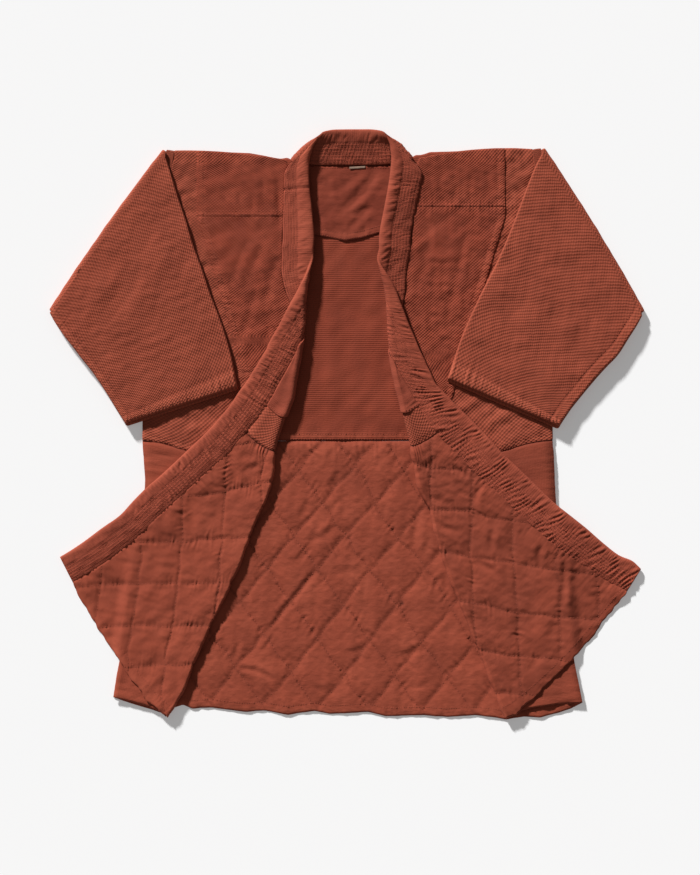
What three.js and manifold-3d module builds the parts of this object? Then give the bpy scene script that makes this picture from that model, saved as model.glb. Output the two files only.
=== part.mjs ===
// Judo jacket laid open on its back, in millimetres.
// +X is to the right and +Y towards the collar as seen from above, +Z is up.
// Left and right in the names are as seen from above.
import * as THREE from "three";
import { mergeVertices } from "three/addons/utils/BufferGeometryUtils.js";
import Module from "manifold-3d";

// Cloth sizes
const seamGap = 0.3;
const backWall = 1.9;
const frontWall = 1.8;
const sleeveWall = 2;
const yokeWall = 1;
const patchWall = 1.2;
const bandThick = 6;
const bandFoldGap = 0.6;
const quiltPuff = 1.2;
const sleeveRollRadius = 5.15;
const armholeThick = 4.3;
// Height of the lapels' free edge, and the share of the band in which the neck corners round.
const lapelTop = 15.6;
const cornerRound = 0.6;
// The fold of each front: its radius at the top and at the hem, and how far the hem bows out.
const turnRadius = 5.7;
const hemRadius = 2.3;
const hemBulge = 15;
// Folded-back cloth shorter than the first stays level, longer than the second lies down.
const shortLeg = 15;
const longLeg = 85;

const rust = new THREE.Color(0x8b4434);
const deepRust = new THREE.Color(0x823c2c);
const lapelRust = new THREE.Color(0x864031);

// The stitched diamonds: one corner and the two steps to its neighbours.
const backQuilt = { x: -33, y: -110.5, ax: 34.4, ay: -47.2, bx: -37.1, by: -45.8 };
const leftQuilt = { x: -227, y: -161, ax: -56.4, ay: -1.4, bx: -5.5, by: -59.8 };
const rightQuilt = { x: 172, y: -121.5, ax: 57.8, ay: -8.3, bx: 1.4, by: -61.9 };

// Collar band behind the neck, from its free edge to its neck seam.
const neckColumns = ["freeX", "freeY", "seamX", "seamY"];
const neckMiddle = [0, 405, 0, 358];
const neckLeft = [
  [-18, 404.5, -18, 358],
  [-26, 403.2, -42, 358.2],
  [-31, 402, -62, 360.2],
  [-33.5, 401, -73.1, 360.8],
];
const neckRight = [
  [18, 405, 18, 358],
  [32, 404.9, 37, 358.1],
  [42, 403.8, 58, 359.3],
  [47.5, 402.6, 75, 361.4],
  [51, 401.2, 86, 363.4],
];

// Each row crosses one half of the front: the body's side or armhole, the near and far
// edge of the band, the share of the band turned over and the height of the turning axis.
const rowColumns = ["sideX", "sideY", "nearX", "nearY", "farX", "farY", "turn", "axisZ"];
const leftRows = [
  [-239.5, 359.5, -46, 381.5, -80, 355.5, 0, 13.8],
  [-241.5, 348.5, -51, 363.5, -84, 347, 0, 13.4],
  [-243.5, 335, -52, 343, -85, 335, 0, 12.4],
  [-246, 321, -51, 322.5, -85, 322.5, 0, 11.2],
  [-250, 297.5, -48, 297.5, -86, 297.5, 0, 10.2],
  [-252.2, 285.7, -47, 285.7, -86.5, 285.7, 0, 10.2],
  [-259.5, 242.5, -46, 242.5, -88, 242.5, 0, 10],
  [-262, 229, -49.5, 229, -91.5, 229, 0.07, 9.4],
  [-264.5, 215, -55, 215, -97, 215, 0.15, 9.1],
  [-268, 196, -59, 196, -101, 196, 0.27, 8.9],
  [-270.5, 179.5, -61, 179.5, -103, 179.5, 0.39, 8.9],
  [-273, 166.5, -62, 166.5, -104, 166.5, 0.51, 8.9],
  [-275, 153.5, -62.5, 153.5, -104.5, 153.5, 0.63, 8.9],
  [-278, 137, -63, 137, -105, 137, 0.776, 8.9],
  [-280.5, 122.5, -65.5, 122.5, -107.5, 122.5, 0.888, 8.9],
  [-280.5, 109.5, -67.5, 108, -108.5, 109.5, 1, 8.9],
  [-280.5, 86, -75.5, 88.5, -117, 93, 1, 8.6],
  [-280.5, 62.5, -86.5, 69, -126.5, 77.5, 1, 8.2],
  [-280.5, 36.5, -98.5, 47.5, -137, 60.5, 1, 7.7],
  [-280.5, 14.5, -110.5, 27.5, -148, 45.5, 1, 7.2],
  [-280.5, -6, -125, 8, -159.5, 28, 1, 6.7],
  [-280.5, -22.5, -140, -10.5, -173, 11.5, 1, 6.3],
  [-278.5, -51.5, -161, -36.5, -193, -10.5, 1, 5.9],
  [-277, -86, -185.5, -58.5, -216, -32.5, 1, 5.6],
  [-282, -120.5, -207, -78.5, -237, -52.5, 1, 5.5],
  [-286, -150.5, -225.5, -95.5, -257, -71, 1, 5.5],
  [-290.5, -181, -244, -112, -274.5, -86, 1, 5.6],
  [-295, -211, -262.5, -129, -293, -104.5, 1, 5.7],
  [-299.5, -241.5, -280.5, -147.5, -311.5, -124.5, 1, 5.6],
  [-304, -271.5, -305, -168.5, -335.5, -141.5, 1, 2.8],
  [-308.5, -303, -330, -187.5, -359, -159, 1, 0.6],
  [-314.5, -340.5, -354.5, -203, -378, -172, 1, -0.3],
  [-320.5, -374.5, -377, -216.5, -394.5, -182, 1, -0.6],
];
const rightRows = [
  [256.5, 359.5, 58.5, 384.5, 95.5, 357, 0, 13.8],
  [257.5, 347, 60.5, 366.5, 102, 346, 0, 13.4],
  [259, 335, 59, 346, 101, 335, 0, 12.4],
  [260.5, 321, 55.5, 322, 97.5, 321, 0, 11.2],
  [261.7, 310, 53.3, 310, 95.3, 310, 0, 10.7],
  [262.8, 299, 51.2, 299, 93.2, 299, 0, 10.2],
  [269, 242.5, 44, 242.5, 86, 242.5, 0, 10],
  [270.5, 229, 46, 229, 88, 229, 0.09, 9.4],
  [272, 215, 50, 215, 92, 215, 0.2, 9.1],
  [274, 196, 55.5, 196, 97, 196, 0.33, 8.9],
  [276, 181, 58.5, 181, 100.5, 181, 0.4, 8.9],
  [277.5, 165.5, 60, 165.5, 102, 165.5, 0.48, 8.9],
  [279, 152, 61, 152, 103, 152, 0.56, 8.9],
  [280, 139.5, 61.5, 139.5, 103.5, 139.5, 0.64, 8.9],
  [282, 120.5, 62.5, 120.5, 104.5, 120.5, 0.776, 8.9],
  [282, 102.5, 64, 102.5, 106, 102.5, 0.888, 8.9],
  [282, 88.5, 66, 86, 108, 86, 1, 8.9],
  [282, 72, 74, 69.5, 115, 71, 1, 8.6],
  [282, 55.5, 82.5, 54.5, 121.5, 56.5, 1, 8.3],
  [282, 39, 91, 40, 128, 49, 1, 7.9],
  [282, 20, 99, 26.5, 135, 42, 1, 7.5],
  [282, -2, 110, 7, 145, 31.5, 1, 7],
  [282, -22.5, 125, -11, 158, 18.5, 1, 6.6],
  [284, -51.5, 141.5, -30, 173, 4, 1, 6.2],
  [285.5, -88.5, 162, -51, 191, -14.5, 1, 5.9],
  [287.5, -115, 183, -71, 213, -39, 1, 5.7],
  [290, -142.5, 199.5, -86.5, 228, -53, 1, 5.6],
  [293, -167, 217, -102.5, 247.5, -71.5, 1, 5.6],
  [296, -192, 236.5, -121, 265.5, -89.5, 1, 5.6],
  [299, -219.5, 258.5, -141, 287.5, -110, 1, 5.7],
  [302, -247, 278, -159, 306.5, -125, 1, 5.7],
  [305.5, -274.5, 300, -175.5, 328.5, -142.5, 1, 4.5],
  [309, -303, 326, -193, 352, -163, 1, 1.6],
  [312.5, -329.5, 350.5, -208.5, 373.5, -179.5, 1, 0.2],
  [317.5, -354, 370, -220.5, 392, -187.5, 1, -0.4],
  [323, -382, 385, -229, 404, -198.5, 1, -0.6],
];

// Outermost line of the long fold in each front, one point for each folded row.
const foldColumns = ["x", "y"];
const leftFold = [
  [-61, 108],
  [-64, 86],
  [-69, 61],
  [-74, 32.5],
  [-83, 10.5],
  [-91, -13],
  [-98.5, -37],
  [-101, -66.5],
  [-110, -101],
  [-126.5, -135.5],
  [-139, -168.5],
  [-150.5, -200],
  [-165, -231.5],
  [-180, -262],
  [-194, -291.5],
  [-208.5, -324],
  [-225.5, -366.5],
  [-247, -403.5],
];
const rightFold = [
  [59.5, 86],
  [63, 66.5],
  [67.5, 47.5],
  [71.5, 31],
  [75, 16],
  [82, -10.5],
  [86.5, -30],
  [93, -61],
  [100.5, -93],
  [114, -119],
  [121, -149],
  [129, -176.5],
  [140, -209.5],
  [152.5, -240],
  [165, -270],
  [174.5, -296.5],
  [185.5, -322.5],
  [196, -348.5],
  [206, -374.5],
  [218, -405],
];

// Flat pieces of the back
const backUpperEdge = [
  [-236.5, 376],
  [-202, 375.5],
  [-133.5, 372.5],
  [-113, 369],
  [-83, 363],
  [-73.5, 359],
  [-66, 359.5],
  [-47, 357.5],
  [37, 357.6],
  [58, 358.5],
  [78.5, 360.9],
  [87.5, 361.5],
  [95, 367],
  [114, 374],
  [183, 376],
  [254.5, 378],
  [282, 124.5],
  [282, -22.3],
  [-280.5, -22.3],
  [-280.5, 123],
];
const backSkirtEdge = [
  [-280.5, -22.7],
  [282, -22.7],
  [284.5, -58.5],
  [286, -108],
  [291.5, -150.5],
  [312, -331.5],
  [317.5, -356],
  [323, -382],
  [311, -388.5],
  [290, -396],
  [265.5, -402],
  [243.5, -401],
  [218.5, -405],
  [203.5, -402],
  [176, -399],
  [136, -401.5],
  [106, -399],
  [53.5, -400.5],
  [29, -394.5],
  [4, -396],
  [-23.5, -397.5],
  [-44.5, -393],
  [-81, -398.5],
  [-115, -392.5],
  [-139.5, -394.5],
  [-188.5, -388.5],
  [-213, -390],
  [-225.5, -384.5],
  [-257, -395.5],
  [-265.5, -392.5],
  [-305, -380],
  [-320.5, -374.5],
  [-316, -347],
  [-311.5, -322.5],
  [-277, -88.5],
  [-276.5, -71],
];
const yokeEdge = [
  [-62, 354.8],
  [62, 354.8],
  [62, 266],
  [44, 263],
  [20.5, 256.5],
  [-2, 252.5],
  [-20.5, 256],
  [-37, 259],
  [-62, 263.5],
];
const labelEdge = [
  [3.5, 350.8],
  [25, 350.2],
  [25, 354.3],
  [3.5, 354.3],
];

// Sleeves: the shoulder edge and the underarm edge of each ring, from the armhole to the
// fold line over the shoulder and back to the cuff, with the height and fullness there.
const sleeveColumns = ["topX", "topY", "armX", "armY", "topBase", "armBase", "topThick", "armThick"];
const leftSleeveBefore = [
  [-237, 376, -281, 123, 0, 0, 4.3, 4.3],
  [-242.5, 377, -323, 134, 0, 0, 4.3, 4.3],
  [-247.5, 377.5, -370, 146.5, 0, 0, 4.3, 4.3],
];
const leftSleeveFold = [-253, 378, -409.5, 157.5];
const leftSleeveAfter = [
  [-249, 366.5, -408, 153, 6, 6, 4.3, 4.6],
  [-244, 351.5, -403.5, 144.5, 6, 6, 4.5, 5.2],
  [-231.5, 311, -390.5, 124.5, 6, 6, 4.9, 6],
  [-220, 277, -375.5, 105, 6, 5.6, 5.3, 6.6],
  [-210, 243.5, -363, 88.5, 6, 5.2, 5.5, 7],
  [-198, 211, -350.5, 73, 6, 5, 5.5, 7.2],
  [-188.5, 182, -338, 55, 6, 5, 5.5, 7.4],
  [-170, 133, -323.5, 32, 5.6, 5, 5.5, 7.4],
  [-160, 99.5, -315, 18, 5.8, 5.6, 5.5, 7.4],
  [-150.5, 53.5, -305, 3, 5.2, 5.8, 5.5, 7],
];
const rightSleeveBefore = [
  [255, 378, 282.5, 124.5, 0, 0, 4.3, 4.3],
  [260.5, 379, 328.5, 134, 0, 0, 4.3, 4.3],
  [266, 379.5, 372.5, 145, 0, 0, 4.3, 4.3],
];
const rightSleeveFold = [271.5, 380, 409, 156];
const rightSleeveAfter = [
  [267, 370.5, 405, 149, 6, 6, 4.3, 4.6],
  [261, 359.5, 400, 139.5, 6, 6, 4.5, 5.2],
  [249.5, 332.5, 386.5, 118, 6, 6, 4.9, 6],
  [238, 302, 372.5, 96, 6, 5.6, 5.3, 6.6],
  [225, 268, 356, 78.5, 6, 5.2, 5.5, 7],
  [206.5, 225, 341.5, 62.5, 6, 5, 5.5, 7.2],
  [194, 200, 326, 44, 6, 5, 5.5, 7.4],
  [182, 176, 311, 25.5, 6, 5, 5.5, 7.4],
  [157.5, 121, 301, 11.5, 6, 5.8, 5.5, 7.4],
  [139, 65, 292.5, -1, 6, 5.8, 5.5, 7],
];
const cuffStep = 6;

// Largest soft folds of the cloth: each is a low ridge between two points.
const ridgeColumns = ["x1", "y1", "x2", "y2", "height", "width"];
const leftFrontRidges = [
  [-158, -20, -166, -72, 1.6, 12],
  [-176, -60, -150, -120, 1.4, 14],
  [-240, -190, -215, -270, 1.6, 16],
  [-300, -200, -250, -330, 1.2, 18],
];
const rightFrontRidges = [
  [298, -176, 296, -258, 2.2, 12],
  [188, -82, 178, -108, 1.8, 11],
  [203, -138, 200, -172, 1.8, 11],
  [271, -163, 268, -200, 1.8, 11],
  [200, -240, 240, -330, 1.4, 18],
];
const leftSleeveRidges = [
  [-262, 292, -330, 196, 1.4, 22],
  [-300, 150, -240, 110, 1, 20],
];
const rightSleeveRidges = [
  [300, 300, 350, 190, 1.4, 22],
  [230, 120, 280, 60, 1, 20],
];

function table(columns, rows) {
  return rows.map((row) => Object.fromEntries(columns.map((name, i) => [name, row[i]])));
}

function mix(a, b, share) {
  return a + (b - a) * share;
}

function smooth(share) {
  const s = Math.min(1, Math.max(0, share));
  return s * s * (3 - 2 * s);
}

function direction(x, y) {
  const length = Math.hypot(x, y);
  return { x: x / length, y: y / length };
}

// Height of the stuffed diamonds above their stitch lines.
function puff(quilt, x, y) {
  const dx = x - quilt.x;
  const dy = y - quilt.y;
  const area = quilt.ax * quilt.by - quilt.ay * quilt.bx;
  const i = (dx * quilt.by - dy * quilt.bx) / area;
  const j = (dy * quilt.ax - dx * quilt.ay) / area;
  return quiltPuff * Math.sqrt(Math.abs(Math.sin(Math.PI * i) * Math.sin(Math.PI * j)));
}

function ridgeHeight(ridges, x, y) {
  let height = 0;
  for (const r of ridges) {
    const alongX = r.x2 - r.x1;
    const alongY = r.y2 - r.y1;
    const share = ((x - r.x1) * alongX + (y - r.y1) * alongY) / (alongX ** 2 + alongY ** 2);
    const held = Math.min(1, Math.max(0, share));
    const away = Math.hypot(x - r.x1 - held * alongX, y - r.y1 - held * alongY);
    height += r.height * Math.exp(-((away / r.width) ** 2));
  }
  return height;
}

function geometryFrom(points, faces) {
  const geometry = new THREE.BufferGeometry();
  geometry.setAttribute("position", new THREE.Float32BufferAttribute(points.flat(), 3));
  geometry.setIndex(faces.flat());
  geometry.computeVertexNormals();
  return geometry;
}

// A wall between two grids of points with the same rows and columns; front faces the side
// that the grid's own normals point to.
function wallGeometry(front, rear) {
  const rows = front.length;
  const columns = front[0].length;
  const points = [...front.flat(), ...rear.flat()];
  const half = rows * columns;
  const at = (r, c) => r * columns + c;
  const faces = [];
  for (let r = 0; r < rows - 1; r++) {
    for (let c = 0; c < columns - 1; c++) {
      const a = at(r, c);
      const b = at(r, c + 1);
      const d = at(r + 1, c);
      const e = at(r + 1, c + 1);
      faces.push([a, d, b], [b, d, e]);
      faces.push([half + a, half + b, half + d], [half + b, half + e, half + d]);
    }
  }
  const rim = [];
  for (let c = 0; c < columns - 1; c++) rim.push([at(0, c), at(0, c + 1)]);
  for (let r = 0; r < rows - 1; r++) rim.push([at(r, columns - 1), at(r + 1, columns - 1)]);
  for (let c = columns - 1; c > 0; c--) rim.push([at(rows - 1, c), at(rows - 1, c - 1)]);
  for (let r = rows - 1; r > 0; r--) rim.push([at(r, 0), at(r - 1, 0)]);
  for (const [a, b] of rim) faces.push([a, b, half + a], [b, half + b, half + a]);
  return geometryFrom(points, faces);
}

function turnedOut(geometry) {
  const index = geometry.index.array;
  const p = geometry.attributes.position.array;
  let volume = 0;
  for (let i = 0; i < index.length; i += 3) {
    const a = new THREE.Vector3().fromArray(p, index[i] * 3);
    const b = new THREE.Vector3().fromArray(p, index[i + 1] * 3);
    const c = new THREE.Vector3().fromArray(p, index[i + 2] * 3);
    volume += a.dot(b.cross(c));
  }
  if (volume < 0) {
    for (let i = 0; i < index.length; i += 3) {
      [index[i], index[i + 1]] = [index[i + 1], index[i]];
    }
  }
  geometry.computeVertexNormals();
  return geometry;
}

function cloth(name, geometry, colour, roughness) {
  const material = new THREE.MeshStandardMaterial({ color: colour, roughness, metalness: 0 });
  const mesh = new THREE.Mesh(turnedOut(geometry), material);
  mesh.name = name;
  return mesh;
}

// Collar band. Distances across it run from the free edge to the seam edge.
const bandChannels = 6;
const bandPlain = 17;
const bandFull = 42;
const channelDepth = 0.8;

function bandOutline() {
  const across = [
    { v: 1.5, dip: 1.1 },
    { v: 5, dip: 0.2 },
    { v: 11, dip: 0 },
  ];
  const pitch = (bandFull - 3.5 - bandPlain) / (bandChannels - 1);
  for (let i = 0; i < bandChannels; i++) {
    across.push({ v: bandPlain + i * pitch, dip: channelDepth });
    if (i < bandChannels - 1) across.push({ v: bandPlain + (i + 0.5) * pitch, dip: 0 });
  }
  across.push({ v: bandFull, dip: 1 });
  const inside = across.map((p) => ({ v: p.v / bandFull, q: p.dip }));
  const outside = across.map((p) => ({ v: p.v / bandFull, q: bandThick - p.dip }));
  return [{ v: 0, q: bandThick / 2 }, ...inside, ...outside.reverse()];
}

const outline = bandOutline();
const bandMiddleRadius = bandFoldGap + bandThick / 2;

// Ring behind the neck: the wearer's side is up at tilt -90 degrees, under at +90.
function neckRing(row, tilt, side) {
  const across = direction(row.seamX - row.freeX, row.seamY - row.freeY);
  const width = Math.hypot(row.seamX - row.freeX, row.seamY - row.freeY);
  const out = direction(side * Math.abs(across.y), Math.abs(across.x));
  const axisZ = bandThick + bandFoldGap;
  return outline.map(({ v, q }) => {
    const reach = bandFoldGap + q;
    const away = reach * Math.cos(tilt) * smooth(v / cornerRound);
    return [
      row.freeX + across.x * width * v + out.x * away,
      row.freeY + across.y * width * v + out.y * away,
      axisZ + reach * Math.sin(tilt),
    ];
  });
}

function bandArc(row, width) {
  const quarter = (Math.PI / 2) * bandMiddleRadius;
  const seamArc = -(width + quarter) + row.turn * (width + 2 * quarter);
  return { quarter, seamArc };
}

// Ring of a front half: part of it has turned over the fold, the wearer's side outermost.
// Where it hasn't turned, its free edge stands up from the front.
function bandRing(row) {
  const across = direction(row.farX - row.nearX, row.farY - row.nearY);
  const width = Math.hypot(row.farX - row.nearX, row.farY - row.nearY);
  const { quarter, seamArc } = bandArc(row, width);
  const standing = Math.max(0, lapelTop + bandFoldGap - row.axisZ) * (1 - row.turn) ** 2;
  return outline.map(({ v, q }) => {
    const arc = seamArc + width * (1 - v);
    const reach = bandFoldGap + bandThick - q;
    let inward = Math.abs(arc) - quarter;
    let rise = Math.sign(arc) * reach;
    if (inward < 0) {
      const angle = arc / bandMiddleRadius;
      inward = -reach * Math.cos(angle);
      rise = reach * Math.sin(angle);
    }
    return [
      row.nearX + across.x * inward,
      row.nearY + across.y * inward,
      row.axisZ + rise + standing * (1 - v),
    ];
  });
}

function loftGeometry(rings) {
  const count = rings[0].length;
  const faces = [];
  for (let r = 0; r < rings.length - 1; r++) {
    for (let k = 0; k < count; k++) {
      const next = (k + 1) % count;
      const a = r * count + k;
      const b = r * count + next;
      const c = a + count;
      const d = b + count;
      faces.push([a, b, c], [b, d, c]);
    }
  }
  const flat = outline.map((p) => new THREE.Vector2(p.v * bandFull, p.q));
  const last = (rings.length - 1) * count;
  const clockwise = THREE.ShapeUtils.isClockWise(flat);
  for (const [a, b, c] of THREE.ShapeUtils.triangulateShape(flat, [])) {
    faces.push(clockwise ? [a, b, c] : [a, c, b]);
    faces.push(clockwise ? [last + a, last + c, last + b] : [last + a, last + b, last + c]);
  }
  return geometryFrom(rings.flat(), faces);
}

const cornerTilts = [-45, 0, 45, 90];
const leftHalf = table(rowColumns, leftRows);
const rightHalf = table(rowColumns, rightRows);

function neckRings(rows, side) {
  const behind = table(neckColumns, rows);
  const corner = behind[behind.length - 1];
  const rings = behind.map((row) => neckRing(row, -Math.PI / 2, side));
  for (const tilt of cornerTilts) rings.push(neckRing(corner, (tilt * Math.PI) / 180, side));
  return rings;
}

function makeCollar() {
  const left = [...neckRings(neckLeft, -1), ...leftHalf.map(bandRing)];
  const right = [...neckRings(neckRight, 1), ...rightHalf.map(bandRing)];
  const middle = neckRing(table(neckColumns, [neckMiddle])[0], -Math.PI / 2, 1);
  return loftGeometry([...left.reverse(), middle, ...right]);
}

// Fronts. A row runs from the body's side under the fold, round it and back over itself
// to the band's seam; shorter rows above end at the seam before they reach the fold.
const lowerColumns = 4;
const rollColumns = 4;

function lowerHeight(index, waistIndex) {
  return mix(2.3, 3.4, smooth((index - waistIndex + 5) / 5));
}

function sideLineX(half, y) {
  for (let i = 1; i < half.length; i++) {
    if (y >= half[i].sideY) {
      const share = (half[i - 1].sideY - y) / (half[i - 1].sideY - half[i].sideY);
      return mix(half[i - 1].sideX, half[i].sideX, Math.max(0, share));
    }
  }
  return half[half.length - 1].sideX;
}

function bezier(from, control, to, share) {
  const a = (1 - share) ** 2;
  const b = 2 * share * (1 - share);
  const c = share ** 2;
  return {
    x: a * from.x + b * control.x + c * to.x,
    y: a * from.y + b * control.y + c * to.y,
  };
}

// One table row of a front, as points on the middle of the wall with the normal that
// points to the wearer's side.
function frontRow(half, fold, index, side, waistIndex, upperColumns) {
  const row = half[index];
  const across = direction(row.farX - row.nearX, row.farY - row.nearY);
  const width = Math.hypot(row.farX - row.nearX, row.farY - row.nearY);
  const { quarter, seamArc } = bandArc(row, width);
  const firstFolded = half.length - fold.length;
  const base = lowerHeight(index, waistIndex);
  const start = { x: row.sideX, y: row.sideY };
  const turning = row.turn > 0.6 && index <= firstFolded;
  const edgeGap = turning ? 2.8 : 0.4;
  const edge = { x: row.nearX - across.x * edgeGap, y: row.nearY - across.y * edgeGap };
  let axis = { x: row.nearX, y: row.nearY };
  let inward = across;
  let radius = turnRadius;
  let rollLength = 0;
  let upperLength = 0;
  let edgeZ = base + frontWall / 2;
  if (seamArc <= -quarter + 0.01) {
    const reach = row.turn > 0 ? -seamArc - quarter + edgeGap : width + edgeGap;
    axis = { x: row.nearX + across.x * reach, y: row.nearY + across.y * reach };
    edgeZ += 0.75 * Math.max(0, row.axisZ - bandThick - bandFoldGap - 2.3);
  } else if (index < firstFolded) {
    rollLength = radius * (seamArc / bandMiddleRadius + Math.PI / 2) - edgeGap;
  } else {
    const line = fold[index - firstFolded];
    const share = (index - firstFolded) / (fold.length - 1);
    const chord = direction(edge.x - line.x, edge.y - line.y);
    const before = fold[Math.max(0, index - firstFolded - 1)];
    const after = fold[Math.min(fold.length - 1, index - firstFolded + 1)];
    const along = direction(after.x - before.x, after.y - before.y);
    const normal = { x: side * Math.abs(along.y), y: -side * along.x };
    const keep = share < 0.1 ? 0 : 0.4 + 0.55 * share ** 2;
    const squared = index === firstFolded ? across : normal;
    inward = direction(mix(squared.x, chord.x, keep), mix(squared.y, chord.y, keep));
    radius = mix(turnRadius, hemRadius, smooth(share * 1.8));
    const outer = radius + frontWall / 2;
    axis = { x: line.x + inward.x * outer, y: line.y + inward.y * outer };
    rollLength = Math.PI * radius;
    upperLength = Math.hypot(edge.x - axis.x, edge.y - axis.y);
    if (index === firstFolded) {
      axis = { x: row.nearX, y: row.nearY };
      rollLength -= edgeGap;
      upperLength = 0;
    }
  }
  const lowerLength = Math.hypot(axis.x - start.x, axis.y - start.y);
  const total = lowerLength + rollLength + upperLength;
  const axisZ = base + frontWall / 2 + radius;
  const bandBottom = row.axisZ + bandFoldGap;
  const share = Math.max(0, (index - firstFolded) / (fold.length - 1));
  const seamZ = bandBottom + mix(bandThick - frontWall, 2.1, smooth(share * 3)) + frontWall / 2;
  const lowerControl = {
    x: axis.x + inward.x * lowerLength * 0.25,
    y: axis.y + inward.y * lowerLength * 0.25,
  };
  const hemward = direction(edge.x - axis.x, edge.y - axis.y);
  const bulge = hemBulge * Math.max(0, share) ** 5 * side;
  const upperControl = {
    x: axis.x + inward.x * upperLength * 0.3 + hemward.y * bulge,
    y: axis.y + inward.y * upperLength * 0.3 - hemward.x * bulge,
  };
  const pointAt = (m) => {
    if (m <= lowerLength || rollLength === 0) {
      const s = Math.min(1, m / lowerLength);
      const p = rollLength > 0 && index >= firstFolded
        ? bezier(start, lowerControl, axis, s)
        : { x: mix(start.x, axis.x, s), y: mix(start.y, axis.y, s) };
      const lift = rollLength > 0 ? 0 : edgeZ - base - frontWall / 2;
      const rise = lift * (Math.max(0, s - 0.4) / 0.6) ** 2;
      return { at: [p.x, p.y, base + frontWall / 2 + rise], normal: [0, 0, -1] };
    }
    if (m <= lowerLength + rollLength) {
      const angle = (m - lowerLength) / radius - Math.PI / 2;
      const c = Math.cos(angle);
      return {
        at: [axis.x - inward.x * radius * c, axis.y - inward.y * radius * c, axisZ + radius * Math.sin(angle)],
        normal: [-inward.x * c, -inward.y * c, Math.sin(angle)],
      };
    }
    const gone = m - lowerLength - rollLength;
    const p = bezier(axis, upperControl, edge, Math.min(1, gone / upperLength));
    const past = side * (sideLineX(half, p.y) - p.x);
    const onBody = smooth((past + 18) / 18);
    const rest = mix(0, base + frontWall + 0.5, onBody) + frontWall / 2;
    const held = Math.max(rest, Math.min(axisZ + radius, seamZ));
    const settled = mix(held, rest, smooth((upperLength - shortLeg) / (longLeg - shortLeg)));
    let z = mix(axisZ + radius, settled, smooth(gone / Math.min(80, upperLength * 0.75)));
    z = mix(z, seamZ, smooth(1 - (upperLength - gone) / Math.min(30, upperLength * 0.5)));
    return { at: [p.x, p.y, Math.max(z, rest)], normal: [0, 0, 1] };
  };
  const rollStart = Math.min(lowerLength, total - 16);
  const rollEnd = Math.min(lowerLength + Math.PI * radius, total - 6);
  const distances = [];
  for (let c = 0; c < lowerColumns; c++) distances.push((rollStart * c) / lowerColumns);
  for (let c = 0; c < rollColumns; c++) distances.push(mix(rollStart, rollEnd, c / rollColumns));
  for (let c = 0; c <= upperColumns; c++) distances.push(mix(rollEnd, total, c / upperColumns));
  return distances.map(pointAt);
}

function between(a, b, share) {
  return a.map((p, c) => ({
    at: p.at.map((value, k) => mix(value, b[c].at[k], share)),
    normal: p.normal.map((value, k) => mix(value, b[c].normal[k], share)),
  }));
}

function frontRows(half, fold, side, waistIndex, first, last, steps, upperColumns) {
  const rows = [];
  for (let i = first; i <= last; i++) {
    rows.push(frontRow(half, fold, i, side, waistIndex, upperColumns));
  }
  const finer = [];
  for (let i = 0; i < rows.length - 1; i++) {
    for (let k = 0; k < steps; k++) finer.push(between(rows[i], rows[i + 1], k / steps));
  }
  finer.push(rows[rows.length - 1]);
  return finer;
}

function moved(point, away) {
  return point.at.map((value, k) => value + point.normal[k] * away);
}

function addShoulderRow(rows, shoulder) {
  const first = rows[0];
  const count = first.length - 1;
  const top = first.map((p, c) => {
    const s = (p.at[0] - first[0].at[0]) / (first[count].at[0] - first[0].at[0]);
    const bow = shoulder.bow * 4 * s * (1 - s);
    return {
      at: [mix(shoulder.x1, shoulder.x2, s), mix(shoulder.y1, shoulder.y2, s) + bow, p.at[2]],
      normal: p.normal,
    };
  });
  return [top, ...rows];
}

const halves = {
  left: {
    side: -1,
    rows: leftHalf,
    fold: table(foldColumns, leftFold),
    waist: 21,
    quilt: leftQuilt,
    ridges: table(ridgeColumns, leftFrontRidges),
    shoulder: { x1: -236.5, y1: 376, x2: -83.5, y2: 362.8, bow: 4 },
    patchX: -206,
    patchRows: 19,
    shoulderRows: 6,
    facingRows: [15, 19],
  },
  right: {
    side: 1,
    rows: rightHalf,
    fold: table(foldColumns, rightFold),
    waist: 22,
    quilt: rightQuilt,
    ridges: table(ridgeColumns, rightFrontRidges),
    shoulder: { x1: 254.5, y1: 378, x2: 99, y2: 365, bow: 6 },
    patchX: 217,
    patchRows: 20,
    shoulderRows: 6,
    facingRows: [16, 20],
  },
};

function upperRows(half) {
  const rows = frontRows(half.rows, half.fold, half.side, half.waist, 0, half.waist, 1, 4);
  return addShoulderRow(rows, half.shoulder);
}

function makeFrontUpper(half) {
  const rows = upperRows(half);
  const wearer = rows.map((row) => row.map((p) => moved(p, frontWall / 2)));
  const outer = rows.map((row) => row.map((p) => moved(p, -frontWall / 2)));
  const last = rows.length - 1;
  for (const grid of [wearer, outer]) {
    grid[last] = grid[last].map((p, c) => p.map((v, k) => mix(v, grid[last - 1][c][k], 0.01)));
  }
  return wallGeometry(wearer, outer);
}

function makeFrontSkirt(half) {
  const last = half.rows.length - 1;
  const rows = frontRows(half.rows, half.fold, half.side, half.waist, half.waist, last, 2, 10);
  const wearer = rows.map((row) =>
    row.map((p) => {
      const up = Math.max(0, p.normal[2]) ** 2;
      const raised = puff(half.quilt, p.at[0], p.at[1]) + ridgeHeight(half.ridges, p.at[0], p.at[1]);
      return moved(p, frontWall / 2 + raised * up);
    }),
  );
  const outer = rows.map((row) => row.map((p) => moved(p, -frontWall / 2)));
  for (const grid of [wearer, outer]) {
    grid[0] = grid[0].map((p, c) => p.map((v, k) => mix(v, grid[1][c][k], 0.03)));
  }
  return wallGeometry(wearer, outer);
}

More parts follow.
